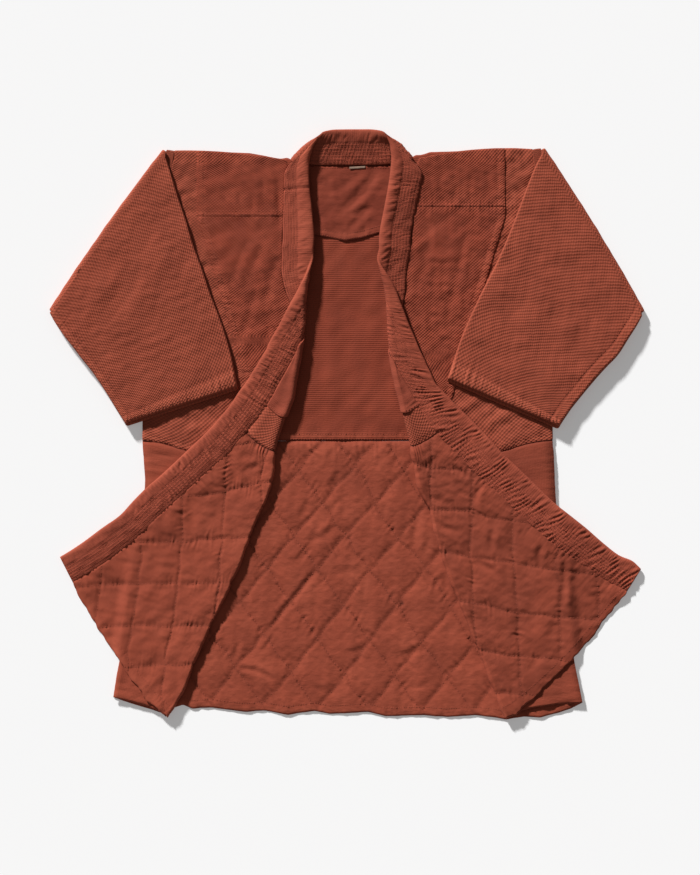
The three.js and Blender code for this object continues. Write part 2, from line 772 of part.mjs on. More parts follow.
// A piece sewn flat on a panel, made from the panel's own points moved out.
function overlay(rows, from, to, keeps, gap, thick) {
  const cut = (row, start, end) => {
    const at = (share) => {
      const place = share * (row.length - 1);
      const c = Math.min(row.length - 2, Math.floor(place));
      return between([row[c]], [row[c + 1]], place - c)[0];
    };
    const kept = row.filter((p, c) => c > start * (row.length - 1) && c < end * (row.length - 1) && keeps(c));
    return { first: at(start), kept, last: at(end) };
  };
  const cuts = rows.map((row) => cut(row, from(row), to(row)));
  const fewest = Math.min(...cuts.map((c) => c.kept.length));
  const lines = cuts.map((c) => {
    const drop = c.kept.length - fewest;
    return [c.first, ...c.kept.slice(drop), c.last];
  });
  const near = lines.map((line) => line.map((p) => moved(p, gap)));
  const far = lines.map((line) => line.map((p) => moved(p, gap + Math.sign(gap) * thick)));
  return wallGeometry(far, near);
}

function shareAtX(row, x) {
  for (let c = 1; c < row.length; c++) {
    const a = row[c - 1].at[0];
    const b = row[c].at[0];
    if ((a - x) * (b - x) <= 0) return (c - 1 + (x - a) / (b - a)) / (row.length - 1);
  }
  return 0;
}

function makePatch(half, first, last) {
  const rows = upperRows(half).slice(first, last + 1);
  const start = (row) => {
    const drift = Math.max(0, 285 - row[0].at[1]) * 0.3;
    return shareAtX(row, half.patchX - half.side * drift);
  };
  const end = (row) => {
    const edge = row[row.length - 1];
    if (edge.normal[2] > -0.99) return (lowerColumns - 0.05) / (row.length - 1);
    return shareAtX(row, edge.at[0] + half.side * 3);
  };
  const trimmed = rows.map((row, i) => {
    if (i === 0 && first > 0) return between(row, rows[1], 0.02);
    return row;
  });
  const keeps = (c) => c < lowerColumns;
  return overlay(trimmed, start, end, keeps, -(frontWall / 2 + seamGap), patchWall);
}

function makeFacing(half) {
  const [first, last] = half.facingRows;
  const rows = upperRows(half).slice(first + 2, last + 2);
  const start = () => (lowerColumns + 1) / (lowerColumns + rollColumns + 4);
  const end = () => 1;
  return overlay(rows, start, end, () => true, frontWall / 2 + seamGap, 0.8);
}

// Sleeves
const acrossPoints = 6;
const endPoints = 3;

function sleeveRing(row, spot) {
  const length = Math.hypot(row.armX - row.topX, row.armY - row.topY);
  const outer = [];
  const inner = [];
  const thickAt = (a) => mix(row.topThick, row.armThick, a / length);
  const put = (a, w, ai, wi) => {
    outer.push(spot(row, a, w, thickAt(a)));
    inner.push(spot(row, ai, wi, thickAt(ai)));
  };
  const startAt = row.topThick / 2;
  const endAt = length - row.armThick / 2;
  for (let i = 0; i <= acrossPoints; i++) {
    const a = mix(startAt, endAt, i / acrossPoints);
    put(a, 0, a, sleeveWall);
  }
  for (let i = 1; i <= endPoints; i++) {
    const angle = (Math.PI * i) / (endPoints + 1);
    const r = row.armThick / 2;
    const ri = r - sleeveWall;
    const s = Math.sin(angle);
    const c = Math.cos(angle);
    put(endAt + r * s, r - r * c, endAt + ri * s, r - ri * c);
  }
  for (let i = acrossPoints; i >= 0; i--) {
    const a = mix(startAt, endAt, i / acrossPoints);
    const t = thickAt(a);
    put(a, t, a, t - sleeveWall);
  }
  for (let i = endPoints; i >= 1; i--) {
    const angle = (Math.PI * i) / (endPoints + 1);
    const r = row.topThick / 2;
    const ri = r - sleeveWall;
    const s = Math.sin(angle);
    const c = Math.cos(angle);
    put(startAt - r * s, r - r * c, startAt - ri * s, r - ri * c);
  }
  return { outer, inner };
}

function makeSleeve(before, foldLine, after, ridges, side) {
  const rings = [];
  const along = (row, a) => {
    const length = Math.hypot(row.armX - row.topX, row.armY - row.topY);
    return {
      x: mix(row.topX, row.armX, a / length),
      y: mix(row.topY, row.armY, a / length),
      share: a / length,
    };
  };
  const lower = (row, a, w) => {
    const p = along(row, a);
    return [p.x, p.y, w];
  };
  for (const row of table(sleeveColumns, before)) rings.push(sleeveRing(row, lower));
  const [topX, topY, armX, armY] = foldLine;
  const down = direction(armX - topX, armY - topY);
  const inward = { x: side * down.y, y: side * -down.x };
  const bow = 3;
  const axisRow = {
    topX: topX + inward.x * sleeveRollRadius,
    topY: topY + inward.y * sleeveRollRadius,
    armX: armX + inward.x * sleeveRollRadius,
    armY: armY + inward.y * sleeveRollRadius,
    topThick: armholeThick,
    armThick: armholeThick,
  };
  for (const degrees of [-90, -45, 0, 45, 90]) {
    const tilt = (degrees * Math.PI) / 180;
    const rolled = (row, a, w) => {
      const p = along(row, a);
      const reach = sleeveRollRadius - w;
      const away = reach * Math.cos(tilt) + bow * 4 * p.share * (1 - p.share);
      return [p.x - inward.x * away, p.y - inward.y * away, sleeveRollRadius + reach * Math.sin(tilt)];
    };
    rings.push(sleeveRing(axisRow, rolled));
  }
  const upperRowsOf = table(sleeveColumns, after);
  upperRowsOf.forEach((row, index) => {
    const cuff = index === upperRowsOf.length - 1;
    const across = direction(row.armX - row.topX, row.armY - row.topY);
    const outX = -side * across.y;
    const outY = side * across.x;
    const bend = bow * Math.max(0, 1 - index / 3);
    const upper = (r, a, w, thick) => {
      const p = along(r, a);
      const step = cuff ? (cuffStep * w) / thick : 0;
      const bowed = bend * 4 * p.share * (1 - p.share);
      const raised = ridgeHeight(ridges, p.x, p.y) * (1 - w / thick);
      return [
        p.x - inward.x * bowed - outX * step,
        p.y - inward.y * bowed - outY * step,
        mix(r.topBase, r.armBase, p.share) + thick - w + raised,
      ];
    };
    rings.push(sleeveRing(row, upper));
  });
  const count = rings[0].outer.length;
  const points = [...rings.flatMap((r) => r.outer), ...rings.flatMap((r) => r.inner)];
  const half = rings.length * count;
  const faces = [];
  for (let r = 0; r < rings.length - 1; r++) {
    for (let k = 0; k < count; k++) {
      const a = r * count + k;
      const b = r * count + ((k + 1) % count);
      faces.push([a, b, a + count], [b, b + count, a + count]);
      faces.push([half + a, half + a + count, half + b], [half + b, half + a + count, half + b + count]);
    }
  }
  const last = (rings.length - 1) * count;
  for (let k = 0; k < count; k++) {
    const next = (k + 1) % count;
    faces.push([k, half + k, next], [next, half + k, half + next]);
    faces.push([last + k, last + next, half + last + k]);
    faces.push([last + next, half + last + next, half + last + k]);
  }
  return geometryFrom(points, faces);
}

// Flat pieces
function flatPiece(edge, bottom, thick) {
  const shape = new THREE.Shape(edge.map(([x, y]) => new THREE.Vector2(x, y)));
  const geometry = new THREE.ExtrudeGeometry(shape, { depth: thick, bevelEnabled: false });
  geometry.translate(0, 0, bottom);
  geometry.deleteAttribute("uv");
  geometry.deleteAttribute("normal");
  return mergeVertices(geometry, 1e-3);
}

const wasm = await Module();
wasm.setup();

function toSolid(geometry) {
  const merged = mergeVertices(turnedOut(geometry), 1e-3);
  return new wasm.Manifold(
    new wasm.Mesh({
      numProp: 3,
      vertProperties: merged.attributes.position.array,
      triVerts: new Uint32Array(merged.index.array),
    }),
  );
}

// A sheet with raised diamonds over a plain underside, its grid three steps to a diamond.
function makeQuiltedBack() {
  const steps = 3;
  const reach = 14;
  const top = [];
  const bottom = [];
  for (let i = -reach * steps; i <= reach * steps; i++) {
    const line = [];
    const under = [];
    for (let j = -reach * steps; j <= reach * steps; j++) {
      const x = backQuilt.x + (backQuilt.ax * i + backQuilt.bx * j) / steps;
      const y = backQuilt.y + (backQuilt.ay * i + backQuilt.by * j) / steps;
      line.push([x, y, backWall - 0.2 + puff(backQuilt, x, y)]);
      under.push([x, y, -2]);
    }
    top.push(line);
    bottom.push(under);
  }
  const sheet = wallGeometry(top, bottom);
  sheet.deleteAttribute("normal");
  const block = flatPiece(backSkirtEdge, 0, 8);
  const kept = toSolid(sheet).intersect(toSolid(block)).getMesh();
  const geometry = new THREE.BufferGeometry();
  geometry.setAttribute("position", new THREE.BufferAttribute(kept.vertProperties, 3));
  geometry.setIndex(new THREE.BufferAttribute(kept.triVerts, 1));
  return geometry;
}

const jacket = new THREE.Group();
jacket.name = "judo_jacket";
jacket.add(cloth("back_upper", flatPiece(backUpperEdge, 0, backWall), deepRust, 0.95));
jacket.add(cloth("back_skirt", makeQuiltedBack(), rust, 0.9));
jacket.add(cloth("neck_yoke", flatPiece(yokeEdge, backWall + 0.4, yokeWall), deepRust, 0.9));
jacket.add(cloth("neck_label", flatPiece(labelEdge, backWall + 1.7, 0.6), deepRust, 0.9));
jacket.add(cloth("collar", makeCollar(), lapelRust, 0.9));
for (const [name, half] of Object.entries(halves)) {
  const shoulderEnd = half.shoulderRows;
  jacket.add(cloth("front_upper_" + name, makeFrontUpper(half), rust, 0.95));
  jacket.add(cloth("front_skirt_" + name, makeFrontSkirt(half), rust, 0.9));
  jacket.add(cloth("shoulder_patch_" + name, makePatch(half, 0, shoulderEnd), rust, 0.9));
  jacket.add(cloth("chest_patch_" + name, makePatch(half, shoulderEnd, half.patchRows), rust, 0.9));
  jacket.add(cloth("inner_facing_" + name, makeFacing(half), rust, 0.9));
}
const leftFolds = table(ridgeColumns, leftSleeveRidges);
const rightFolds = table(ridgeColumns, rightSleeveRidges);
const leftSleeve = makeSleeve(leftSleeveBefore, leftSleeveFold, leftSleeveAfter, leftFolds, -1);
const rightSleeve = makeSleeve(rightSleeveBefore, rightSleeveFold, rightSleeveAfter, rightFolds, 1);
jacket.add(cloth("sleeve_left", leftSleeve, rust, 0.95));
jacket.add(cloth("sleeve_right", rightSleeve, rust, 0.95));

export default jacket;
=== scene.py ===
import math
import bpy
import numpy as np
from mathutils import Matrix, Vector
from mathutils.bvhtree import BVHTree


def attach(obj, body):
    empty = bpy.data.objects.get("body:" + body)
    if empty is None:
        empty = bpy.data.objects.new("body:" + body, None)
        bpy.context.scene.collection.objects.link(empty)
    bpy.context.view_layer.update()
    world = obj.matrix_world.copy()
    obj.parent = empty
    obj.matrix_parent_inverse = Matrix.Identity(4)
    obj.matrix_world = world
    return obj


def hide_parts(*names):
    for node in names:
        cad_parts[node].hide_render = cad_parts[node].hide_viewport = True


# A judo jacket laid open on its back. Sizes are in millimetres until a mesh is made,
# +X to the right and +Y towards the collar as seen from above.
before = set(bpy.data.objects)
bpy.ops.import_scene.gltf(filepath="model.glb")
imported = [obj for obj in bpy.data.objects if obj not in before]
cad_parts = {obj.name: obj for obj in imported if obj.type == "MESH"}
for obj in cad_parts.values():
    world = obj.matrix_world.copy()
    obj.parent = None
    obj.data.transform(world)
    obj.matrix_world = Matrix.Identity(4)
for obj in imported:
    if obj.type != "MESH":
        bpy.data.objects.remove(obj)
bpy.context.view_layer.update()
scene = bpy.context.scene

# Behind the neck: free edge x and y, seam x and y
neckMiddle = [0, 405, 0, 358]
neckLeft = [
    [-18, 404.5, -18, 358], [-26, 403.2, -42, 358.2], [-31, 402, -62, 360.2],
    [-33.5, 401, -73.1, 360.8],
]
neckRight = [
    [18, 405, 18, 358], [32, 404.9, 37, 358.1], [42, 403.8, 58, 359.3], [47.5, 402.6, 75, 361.4],
    [51, 401.2, 86, 363.4],
]
# Down each front: side x and y, free edge x and y, seam x and y, turn 0 to 1, height
leftRows = [
    [-239.5, 359.5, -46, 381.5, -80, 355.5, 0, 13.8], [-241.5, 348.5, -51, 363.5, -84, 347, 0, 13.4],
    [-243.5, 335, -52, 343, -85, 335, 0, 12.4], [-246, 321, -51, 322.5, -85, 322.5, 0, 11.2],
    [-250, 297.5, -48, 297.5, -86, 297.5, 0, 10.2], [-252.2, 285.7, -47, 285.7, -86.5, 285.7, 0, 10.2],
    [-259.5, 242.5, -46, 242.5, -88, 242.5, 0, 10], [-262, 229, -49.5, 229, -91.5, 229, 0.07, 9.4],
    [-264.5, 215, -55, 215, -97, 215, 0.15, 9.1], [-268, 196, -59, 196, -101, 196, 0.27, 8.9],
    [-270.5, 179.5, -61, 179.5, -103, 179.5, 0.39, 8.9],
    [-273, 166.5, -62, 166.5, -104, 166.5, 0.51, 8.9],
    [-275, 153.5, -62.5, 153.5, -104.5, 153.5, 0.63, 8.9], [-278, 137, -63, 137, -105, 137, 0.776, 8.9],
    [-280.5, 122.5, -65.5, 122.5, -107.5, 122.5, 0.888, 8.9],
    [-280.5, 109.5, -67.5, 108, -108.5, 109.5, 1, 8.9], [-280.5, 86, -75.5, 88.5, -117, 93, 1, 8.6],
    [-280.5, 62.5, -86.5, 69, -126.5, 77.5, 1, 8.2], [-280.5, 36.5, -98.5, 47.5, -137, 60.5, 1, 7.7],
    [-280.5, 14.5, -110.5, 27.5, -148, 45.5, 1, 7.2], [-280.5, -6, -125, 8, -159.5, 28, 1, 6.7],
    [-280.5, -22.5, -140, -10.5, -173, 11.5, 1, 6.3], [-278.5, -51.5, -161, -36.5, -193, -10.5, 1, 5.9],
    [-277, -86, -185.5, -58.5, -216, -32.5, 1, 5.6], [-282, -120.5, -207, -78.5, -237, -52.5, 1, 5.5],
    [-286, -150.5, -225.5, -95.5, -257, -71, 1, 5.5], [-290.5, -181, -244, -112, -274.5, -86, 1, 5.6],
    [-295, -211, -262.5, -129, -293, -104.5, 1, 5.7],
    [-299.5, -241.5, -280.5, -147.5, -311.5, -124.5, 1, 5.6],
    [-304, -271.5, -305, -168.5, -335.5, -141.5, 1, 2.8],
    [-308.5, -303, -330, -187.5, -359, -159, 1, 0.6],
    [-314.5, -340.5, -354.5, -203, -378, -172, 1, -0.3],
    [-320.5, -374.5, -377, -216.5, -394.5, -182, 1, -0.6],
]
rightRows = [
    [256.5, 359.5, 58.5, 384.5, 95.5, 357, 0, 13.8], [257.5, 347, 60.5, 366.5, 102, 346, 0, 13.4],
    [259, 335, 59, 346, 101, 335, 0, 12.4], [260.5, 321, 55.5, 322, 97.5, 321, 0, 11.2],
    [261.7, 310, 53.3, 310, 95.3, 310, 0, 10.7], [262.8, 299, 51.2, 299, 93.2, 299, 0, 10.2],
    [269, 242.5, 44, 242.5, 86, 242.5, 0, 10], [270.5, 229, 46, 229, 88, 229, 0.09, 9.4],
    [272, 215, 50, 215, 92, 215, 0.2, 9.1], [274, 196, 55.5, 196, 97, 196, 0.33, 8.9],
    [276, 181, 58.5, 181, 100.5, 181, 0.4, 8.9], [277.5, 165.5, 60, 165.5, 102, 165.5, 0.48, 8.9],
    [279, 152, 61, 152, 103, 152, 0.56, 8.9], [280, 139.5, 61.5, 139.5, 103.5, 139.5, 0.64, 8.9],
    [282, 120.5, 62.5, 120.5, 104.5, 120.5, 0.776, 8.9],
    [282, 102.5, 64, 102.5, 106, 102.5, 0.888, 8.9], [282, 88.5, 66, 86, 108, 86, 1, 8.9],
    [282, 72, 74, 69.5, 115, 71, 1, 8.6], [282, 55.5, 82.5, 54.5, 121.5, 56.5, 1, 8.3],
    [282, 39, 91, 40, 128, 49, 1, 7.9], [282, 20, 99, 26.5, 135, 42, 1, 7.5],
    [282, -2, 110, 7, 145, 31.5, 1, 7], [282, -22.5, 125, -11, 158, 18.5, 1, 6.6],
    [284, -51.5, 141.5, -30, 173, 4, 1, 6.2], [285.5, -88.5, 162, -51, 191, -14.5, 1, 5.9],
    [287.5, -115, 183, -71, 213, -39, 1, 5.7], [290, -142.5, 199.5, -86.5, 228, -53, 1, 5.6],
    [293, -167, 217, -102.5, 247.5, -71.5, 1, 5.6], [296, -192, 236.5, -121, 265.5, -89.5, 1, 5.6],
    [299, -219.5, 258.5, -141, 287.5, -110, 1, 5.7], [302, -247, 278, -159, 306.5, -125, 1, 5.7],
    [305.5, -274.5, 300, -175.5, 328.5, -142.5, 1, 4.5], [309, -303, 326, -193, 352, -163, 1, 1.6],
    [312.5, -329.5, 350.5, -208.5, 373.5, -179.5, 1, 0.2],
    [317.5, -354, 370, -220.5, 392, -187.5, 1, -0.4], [323, -382, 385, -229, 404, -198.5, 1, -0.6],
]
# Where each front folds outwards, x and y, from the first folded row to the hem
leftFold = [
    [-61, 108], [-64, 86], [-69, 61], [-74, 32.5], [-83, 10.5], [-91, -13], [-98.5, -37], [-101, -66.5],
    [-110, -101], [-126.5, -135.5], [-139, -168.5], [-150.5, -200], [-165, -231.5], [-180, -262],
    [-194, -291.5], [-208.5, -324], [-225.5, -366.5], [-247, -403.5],
]
rightFold = [
    [59.5, 86], [63, 66.5], [67.5, 47.5], [71.5, 31], [75, 16], [82, -10.5], [86.5, -30], [93, -61],
    [100.5, -93], [114, -119], [121, -149], [129, -176.5], [140, -209.5], [152.5, -240], [165, -270],
    [174.5, -296.5], [185.5, -322.5], [196, -348.5], [206, -374.5], [218, -405],
]
# Edges of the back and the yoke, x and y
backTopEdge = [
    [-236.5, 376], [-202, 375.5], [-133.5, 372.5], [-113, 369], [-83, 363], [-73.5, 359], [-66, 359.5],
    [-47, 357.5], [37, 357.6], [58, 358.5], [78.5, 360.9], [87.5, 361.5], [95, 367], [114, 374],
    [183, 376], [254.5, 378],
]
backLeftEdge = [[-236.5, 376], [-280.5, 123], [-280.5, -22.4]]
backRightEdge = [[254.5, 378], [282, 124.5], [282, -22.4]]
skirtLeftEdge = [
    [-280.5, -22.9], [-276.5, -71], [-277, -88.5], [-311.5, -322.5], [-316, -347], [-320.5, -374.5],
]
skirtRightEdge = [
    [282, -22.9], [284.5, -58.5], [286, -108], [291.5, -150.5], [312, -331.5], [317.5, -356],
    [323, -382],
]
skirtHem = [
    [-320.5, -374.5], [-305, -380], [-265.5, -392.5], [-257, -395.5], [-225.5, -384.5], [-213, -390],
    [-188.5, -388.5], [-139.5, -394.5], [-115, -392.5], [-81, -398.5], [-44.5, -393], [-23.5, -397.5],
    [4, -396], [29, -394.5], [53.5, -400.5], [106, -399], [136, -401.5], [176, -399], [203.5, -402],
    [218.5, -405], [243.5, -401], [265.5, -402], [290, -396], [311, -388.5], [323, -382],
]
yokeLowerEdge = [
    [-62, 263.5], [-37, 259], [-20.5, 256], [-2, 252.5], [20.5, 256.5], [44, 263], [62, 266],
]
# Across each sleeve: shoulder x and y, arm x and y, lift at both, thickness at both
leftSleeveBefore = [
    [-237, 376, -281, 123, 0, 0, 4.3, 4.3], [-242.5, 377, -323, 134, 0, 0, 4.3, 4.3],
    [-247.5, 377.5, -370, 146.5, 0, 0, 4.3, 4.3],
]
leftSleeveFold = [-253, 378, -409.5, 157.5]
leftSleeveAfter = [
    [-249, 366.5, -408, 153, 6, 6, 4.3, 4.6], [-244, 351.5, -403.5, 144.5, 6, 6, 4.5, 5.2],
    [-231.5, 311, -390.5, 124.5, 6, 6, 4.9, 6], [-220, 277, -375.5, 105, 6, 5.6, 5.3, 6.6],
    [-210, 243.5, -363, 88.5, 6, 5.2, 5.5, 7], [-198, 211, -350.5, 73, 6, 5, 5.5, 7.2],
    [-188.5, 182, -338, 55, 6, 5, 5.5, 7.4], [-170, 133, -323.5, 32, 5.6, 5, 5.5, 7.4],
    [-160, 99.5, -315, 18, 5.8, 5.6, 5.5, 7.4], [-150.5, 53.5, -305, 3, 5.2, 5.8, 5.5, 7],
]
rightSleeveBefore = [
    [255, 378, 282.5, 124.5, 0, 0, 4.3, 4.3], [260.5, 379, 328.5, 134, 0, 0, 4.3, 4.3],
    [266, 379.5, 372.5, 145, 0, 0, 4.3, 4.3],
]
rightSleeveFold = [271.5, 380, 409, 156]
rightSleeveAfter = [
    [267, 370.5, 405, 149, 6, 6, 4.3, 4.6], [261, 359.5, 400, 139.5, 6, 6, 4.5, 5.2],
    [249.5, 332.5, 386.5, 118, 6, 6, 4.9, 6], [238, 302, 372.5, 96, 6, 5.6, 5.3, 6.6],
    [225, 268, 356, 78.5, 6, 5.2, 5.5, 7], [206.5, 225, 341.5, 62.5, 6, 5, 5.5, 7.2],
    [194, 200, 326, 44, 6, 5, 5.5, 7.4], [182, 176, 311, 25.5, 6, 5, 5.5, 7.4],
    [157.5, 121, 301, 11.5, 6, 5.8, 5.5, 7.4], [139, 65, 292.5, -1, 6, 5.8, 5.5, 7],
]
# Quilted corners that are stitched a little off the even lattice, x and y
backCorners = [
    [-33, -110.5], [-5.5, -149], [29, -200], [69, -245.5], [103, -300.5], [137.5, -347], [-41, -200],
    [-78.5, -241.5], [-115.5, -286.5], [-154, -333.5], [14, -53], [69, -159], [110, -190.5],
    [146, -251], [173, -306],
]
leftCorners = [
    [-165, -93], [-227, -99.5], [-227, -160], [-172, -156], [-282, -161.5], [-232.5, -220.5],
    [-287.5, -218], [-335.5, -218], [-239, -278.5], [-295.5, -275.5], [-253, -328], [-301, -328],
    [-202, -325], [-122.5, -72],
]
rightCorners = [
    [114, -115], [172, -121.5], [227, -135.5], [118, -62.5], [168, -179.5], [228, -189],
    [172, -245.5], [234, -262], [293, -264.5], [235, -321], [180, -310], [242, -365], [344, -266],
]

# Creases: x and y of both ends, bend, depth and width
leftChestCreases = [
    [-96, 352.5, -93.5, 259, 1.4, 1.4, 5], [-133.5, 322.5, -132, 286.5, 2.8, 1, 4],
    [-147, 319.5, -143, 292, -2.8, 0.8, 4], [-117, 256.5, -133.5, 205.5, 2.8, 1, 6],
    [-89.5, 237, -110, 163, -4.1, 1.2, 7], [-147, 240, -163.5, 189, 2.8, 0.9, 6],
    [-125, 185, -150, 127, 4.1, 0.9, 7], [-78.5, 256.5, -88, 223.5, 0, 0.8, 5],
    [-139, 141, -158, 99.5, 2.8, 0.7, 7], [-106, 143.5, -117, 109.5, 2.8, 0.7, 6],
    [-183, 267.5, -176, 223.5, 0, 0.6, 5], [-158, 171, -150, 135.5, 4.1, 0.6, 6],
    [-172, 308.5, -163.5, 289.5, 0, 0.6, 4], [-117, 341.5, -115.5, 308.5, 1.4, 0.7, 4],
]
rightChestCreases = [
    [114, 278.5, 96, 181, 2.8, 0.8, 6], [173, 291, 137.5, 126, -4.1, 0.9, 6],
    [97.5, 223.5, 169, 229, -4.1, 0.6, 5], [93.5, 189, 161, 194.5, -2.8, 0.5, 5],
    [107, 148, 144.5, 154.5, -2.8, 0.5, 5], [111.5, 341.5, 117, 303, 2.8, 0.6, 4],
    [132, 350, 128, 314, -1.4, 0.5, 4], [150, 333.5, 146, 302, 1.4, 0.5, 4],
    [169, 341.5, 166.5, 303, 1.4, 0.4, 4], [194, 275.5, 177.5, 171, 2.8, 0.5, 7],
    [100.5, 295, 111.5, 253.5, 2.8, 0.5, 5], [122.5, 116, 144.5, 121.5, -2.8, 0.5, 5],
    [128, 86, 148.5, 99.5, -2.8, 0.5, 5], [155.5, 260.5, 191, 264.5, -2.8, 0.4, 5],
]
backBodyCreases = [
    [-40, 223.5, -34.5, 33.5, 2.8, 0.5, 10], [7, 171, 4, -7.5, -4.1, 0.5, 12],
    [47, 223.5, 56.5, 13, 2.8, 0.6, 10], [29, 240, 33, 157.5, 1.4, 0.4, 8],
]
yokeCreases = [
    [42.5, 354, -9.5, 292, 5.5, 1.7, 7], [7, 341.5, -26, 317, 4.1, 0.9, 6],
    [37, 300.5, 4, 267.5, -4.1, 0.9, 6], [-3, 289.5, 34.5, 300.5, -2.8, 0.5, 5],
    [-34.5, 336, -23.5, 308.5, 2.8, 0.5, 5],
]
backSkirtCreases = [
    [-51, -159, -14, -134, -5.5, 1, 5.4], [-27.5, -88.5, -9.5, -61, -2.8, 0.8, 5.4],
    [-5.5, -130, 1.5, -93, 2.8, 0.8, 5.4], [22, -241.5, 29, -204, 2.8, 0.8, 4.7],
    [-82.5, -200, -37, -123, -9.6, 0.7, 5.4], [91, -161.5, 102, -123, 2.8, 0.8, 5.4],
    [-23.5, -205.5, 22, -203, 2.8, 0.6, 5.4], [-9.5, -313, 27.5, -303, -4.1, 0.7, 5.4],
    [63, -317, 110, -303, -4.1, 0.8, 5.4], [-154, -335, -96, -354, 5.5, 1, 4.1],
    [-157, -324, -147, -296.5, 0, 0.8, 4.1], [-106, -282.5, -34.5, -194.5, 2.8, 1, 4.1],
    [132, -205.5, 137.5, -230.5, 0, 1, 4.7], [172, -340.5, 196.5, -365, 2.8, 0.7, 5.4],
    [1.5, -79, -34.5, -137, 2.8, 0.7, 5.4], [-64.5, -131.5, -48, -104, 2.8, 0.6, 5.4],
    [40, -62.5, 47, -42, 0, 0.6, 4.7], [60.5, -65.5, 69, -42, 0, 0.6, 4.7],
    [14, -51.5, 19, -32.5, 0, 0.6, 4.7], [-23.5, -51.5, -19, -31, 0, 0.5, 4.7],
    [107, -181, 115.5, -153.5, 1.4, 0.6, 5.4], [-64.5, -255, -40, -247, -2.8, 0.4, 5.4],
    [7, -296.5, 18, -326.5, 2.8, 0.5, 5.4], [78.5, -362.5, 117, -351.5, -2.8, 0.5, 5.4],
    [-51, -365, -9.5, -370.5, 2.8, 0.5, 5.4], [-117, -313, -106, -296.5, 0, 0.5, 4.7],
    [130.5, -307.5, 144.5, -269, 2.8, 0.5, 6.8], [48, -131.5, 53.5, -104, 0, 0.5, 5.4],
    [80, -104, 85, -62.5, 0, 0.4, 8.1], [106, -104, 111.5, -62.5, 0, 0.4, 8.1],
    [45.5, -282.5, 67.5, -277, -1.4, 0.4, 5.4], [-81, -324, -64.5, -335, 2.8, 0.4, 5.4],
]
leftSkirtCreases = [
    [-166.5, -39, -152.5, -90, 4.1, 1.5, 5.4], [-147, -62.5, -117, -51.5, -4.1, 0.9, 4.8],
    [-163.5, -62.5, -162, -104, 0, 0.8, 6], [-216, -90, -210.5, -156, 0, 0.7, 7.2],
    [-181.5, -101, -177.5, -159, 1.4, 0.6, 7.2], [-158, -104, -147, -153.5, -2.8, 0.6, 8.4],
    [-254.5, -104, -251.5, -159, 0, 0.5, 7.2], [-271, -175.5, -260, -216.5, 2.8, 0.7, 8.4],
    [-249, -181, -238, -241.5, 1.4, 0.5, 8.4], [-213, -170, -203.5, -220.5, -1.4, 0.5, 8.4],
    [-195, -172.5, -188.5, -241.5, 1.4, 0.6, 9.6], [-298.5, -227.5, -287.5, -271.5, 2.8, 0.7, 8.4],
    [-328.5, -186.5, -315, -227.5, 0, 0.5, 7.2], [-221.5, -241.5, -213, -310, 1.4, 0.6, 8.4],
    [-232.5, -255, -240.5, -310, 1.4, 0.5, 7.2], [-268, -282.5, -257, -340.5, 2.8, 0.7, 8.4],
    [-236.5, -324, -232.5, -379, 1.4, 0.7, 7.2], [-342.5, -227.5, -328.5, -258, 0, 0.4, 6],
    [-117, -38, -111.5, -76.5, 0, 0.6, 6], [-139, -84.5, -117, -98.5, 0, 0.6, 6],
]
rightSkirtCreases = [
    [298.5, -175.5, 295.5, -258, 1.4, 1.8, 4.8], [188.5, -80.5, 177.5, -112, -5.5, 1.4, 4.6],
    [203.5, -138, 201, -174, -4.1, 1.3, 4.8], [271, -159, 267, -200, -5.5, 1.3, 4.6],
    [100.5, -60, 129, -38, -4.1, 0.7, 5.4], [117, -131.5, 161, -149, -2.8, 1, 4.8],
    [106, -101, 144.5, -112, 2.8, 0.7, 4.8], [224, -131.5, 227, -170, -1.4, 0.9, 6],
    [169, -189, 207.5, -211, 5.5, 1, 5.4], [217, -181, 221.5, -219.5, 0, 0.7, 6],
    [135, -186.5, 139, -227.5, 1.4, 0.7, 6], [128, -62.5, 144.5, -84.5, 2.8, 0.9, 4.8],
    [144.5, -51.5, 169, -71, -4.1, 0.8, 4.8], [107, -76.5, 118, -104, 0, 0.8, 4.8],
    [320.5, -227.5, 342.5, -241.5, 0, 0.8, 4.8], [251.5, -241.5, 256, -296.5, 1.4, 0.6, 7.2],
    [206, -241.5, 216, -296.5, 1.4, 0.6, 8.4], [276.5, -296.5, 287.5, -269, 0, 0.6, 6],
    [265.5, -310, 249, -346, 0, 0.7, 7.2], [221.5, -329.5, 229.5, -379, 1.4, 0.6, 7.2],
    [188.5, -258, 199.5, -310, 1.4, 0.5, 8.4], [313.5, -255, 324.5, -296.5, 1.4, 0.6, 7.2],
    [157, -159, 169, -181, 2.8, 0.7, 4.8], [243.5, -186.5, 251.5, -227.5, 1.4, 0.5, 7.2],
    [169, -296.5, 191, -340.5, 2.8, 0.5, 7.2], [350.5, -211, 359, -241.5, 0, 0.8, 4.8],
]
leftSleeveCreases = [
    [-271, 292, -306.5, 223.5, 8.2, 1.6, 20], [-304, 229, -361.5, 187.5, -8.2, 1.4, 18],
    [-295.5, 215, -345, 135.5, 6.9, 1.2, 18], [-257, 363.5, -271, 308.5, 0, 0.5, 10],
    [-216, 240, -235, 171, 4.1, 0.5, 14], [-301, 94, -271, 39, -2.8, 0.6, 12],
    [-195, 130, -185.5, 72, 0, 0.5, 10], [-378, 171, -334, 99.5, 4.1, 0.6, 10],
]
rightSleeveCreases = [
    [293, 322.5, 342.5, 223.5, -6.9, 1, 20], [251.5, 223.5, 210.5, 130, 5.5, 0.6, 16],
    [348, 171, 293, 88.5, 5.5, 0.7, 14], [238, 295, 217, 212.5, 4.1, 0.5, 12],
    [293, 171, 265.5, 61, -4.1, 0.6, 14], [183, 102.5, 238, 83, 0, 0.4, 10],
]


# Shapes of lines and surfaces

def mix(a, b, share):
    return a + (b - a) * share


def smooth(share):
    s = np.clip(share, 0.0, 1.0)
    return s * s * (3 - 2 * s)


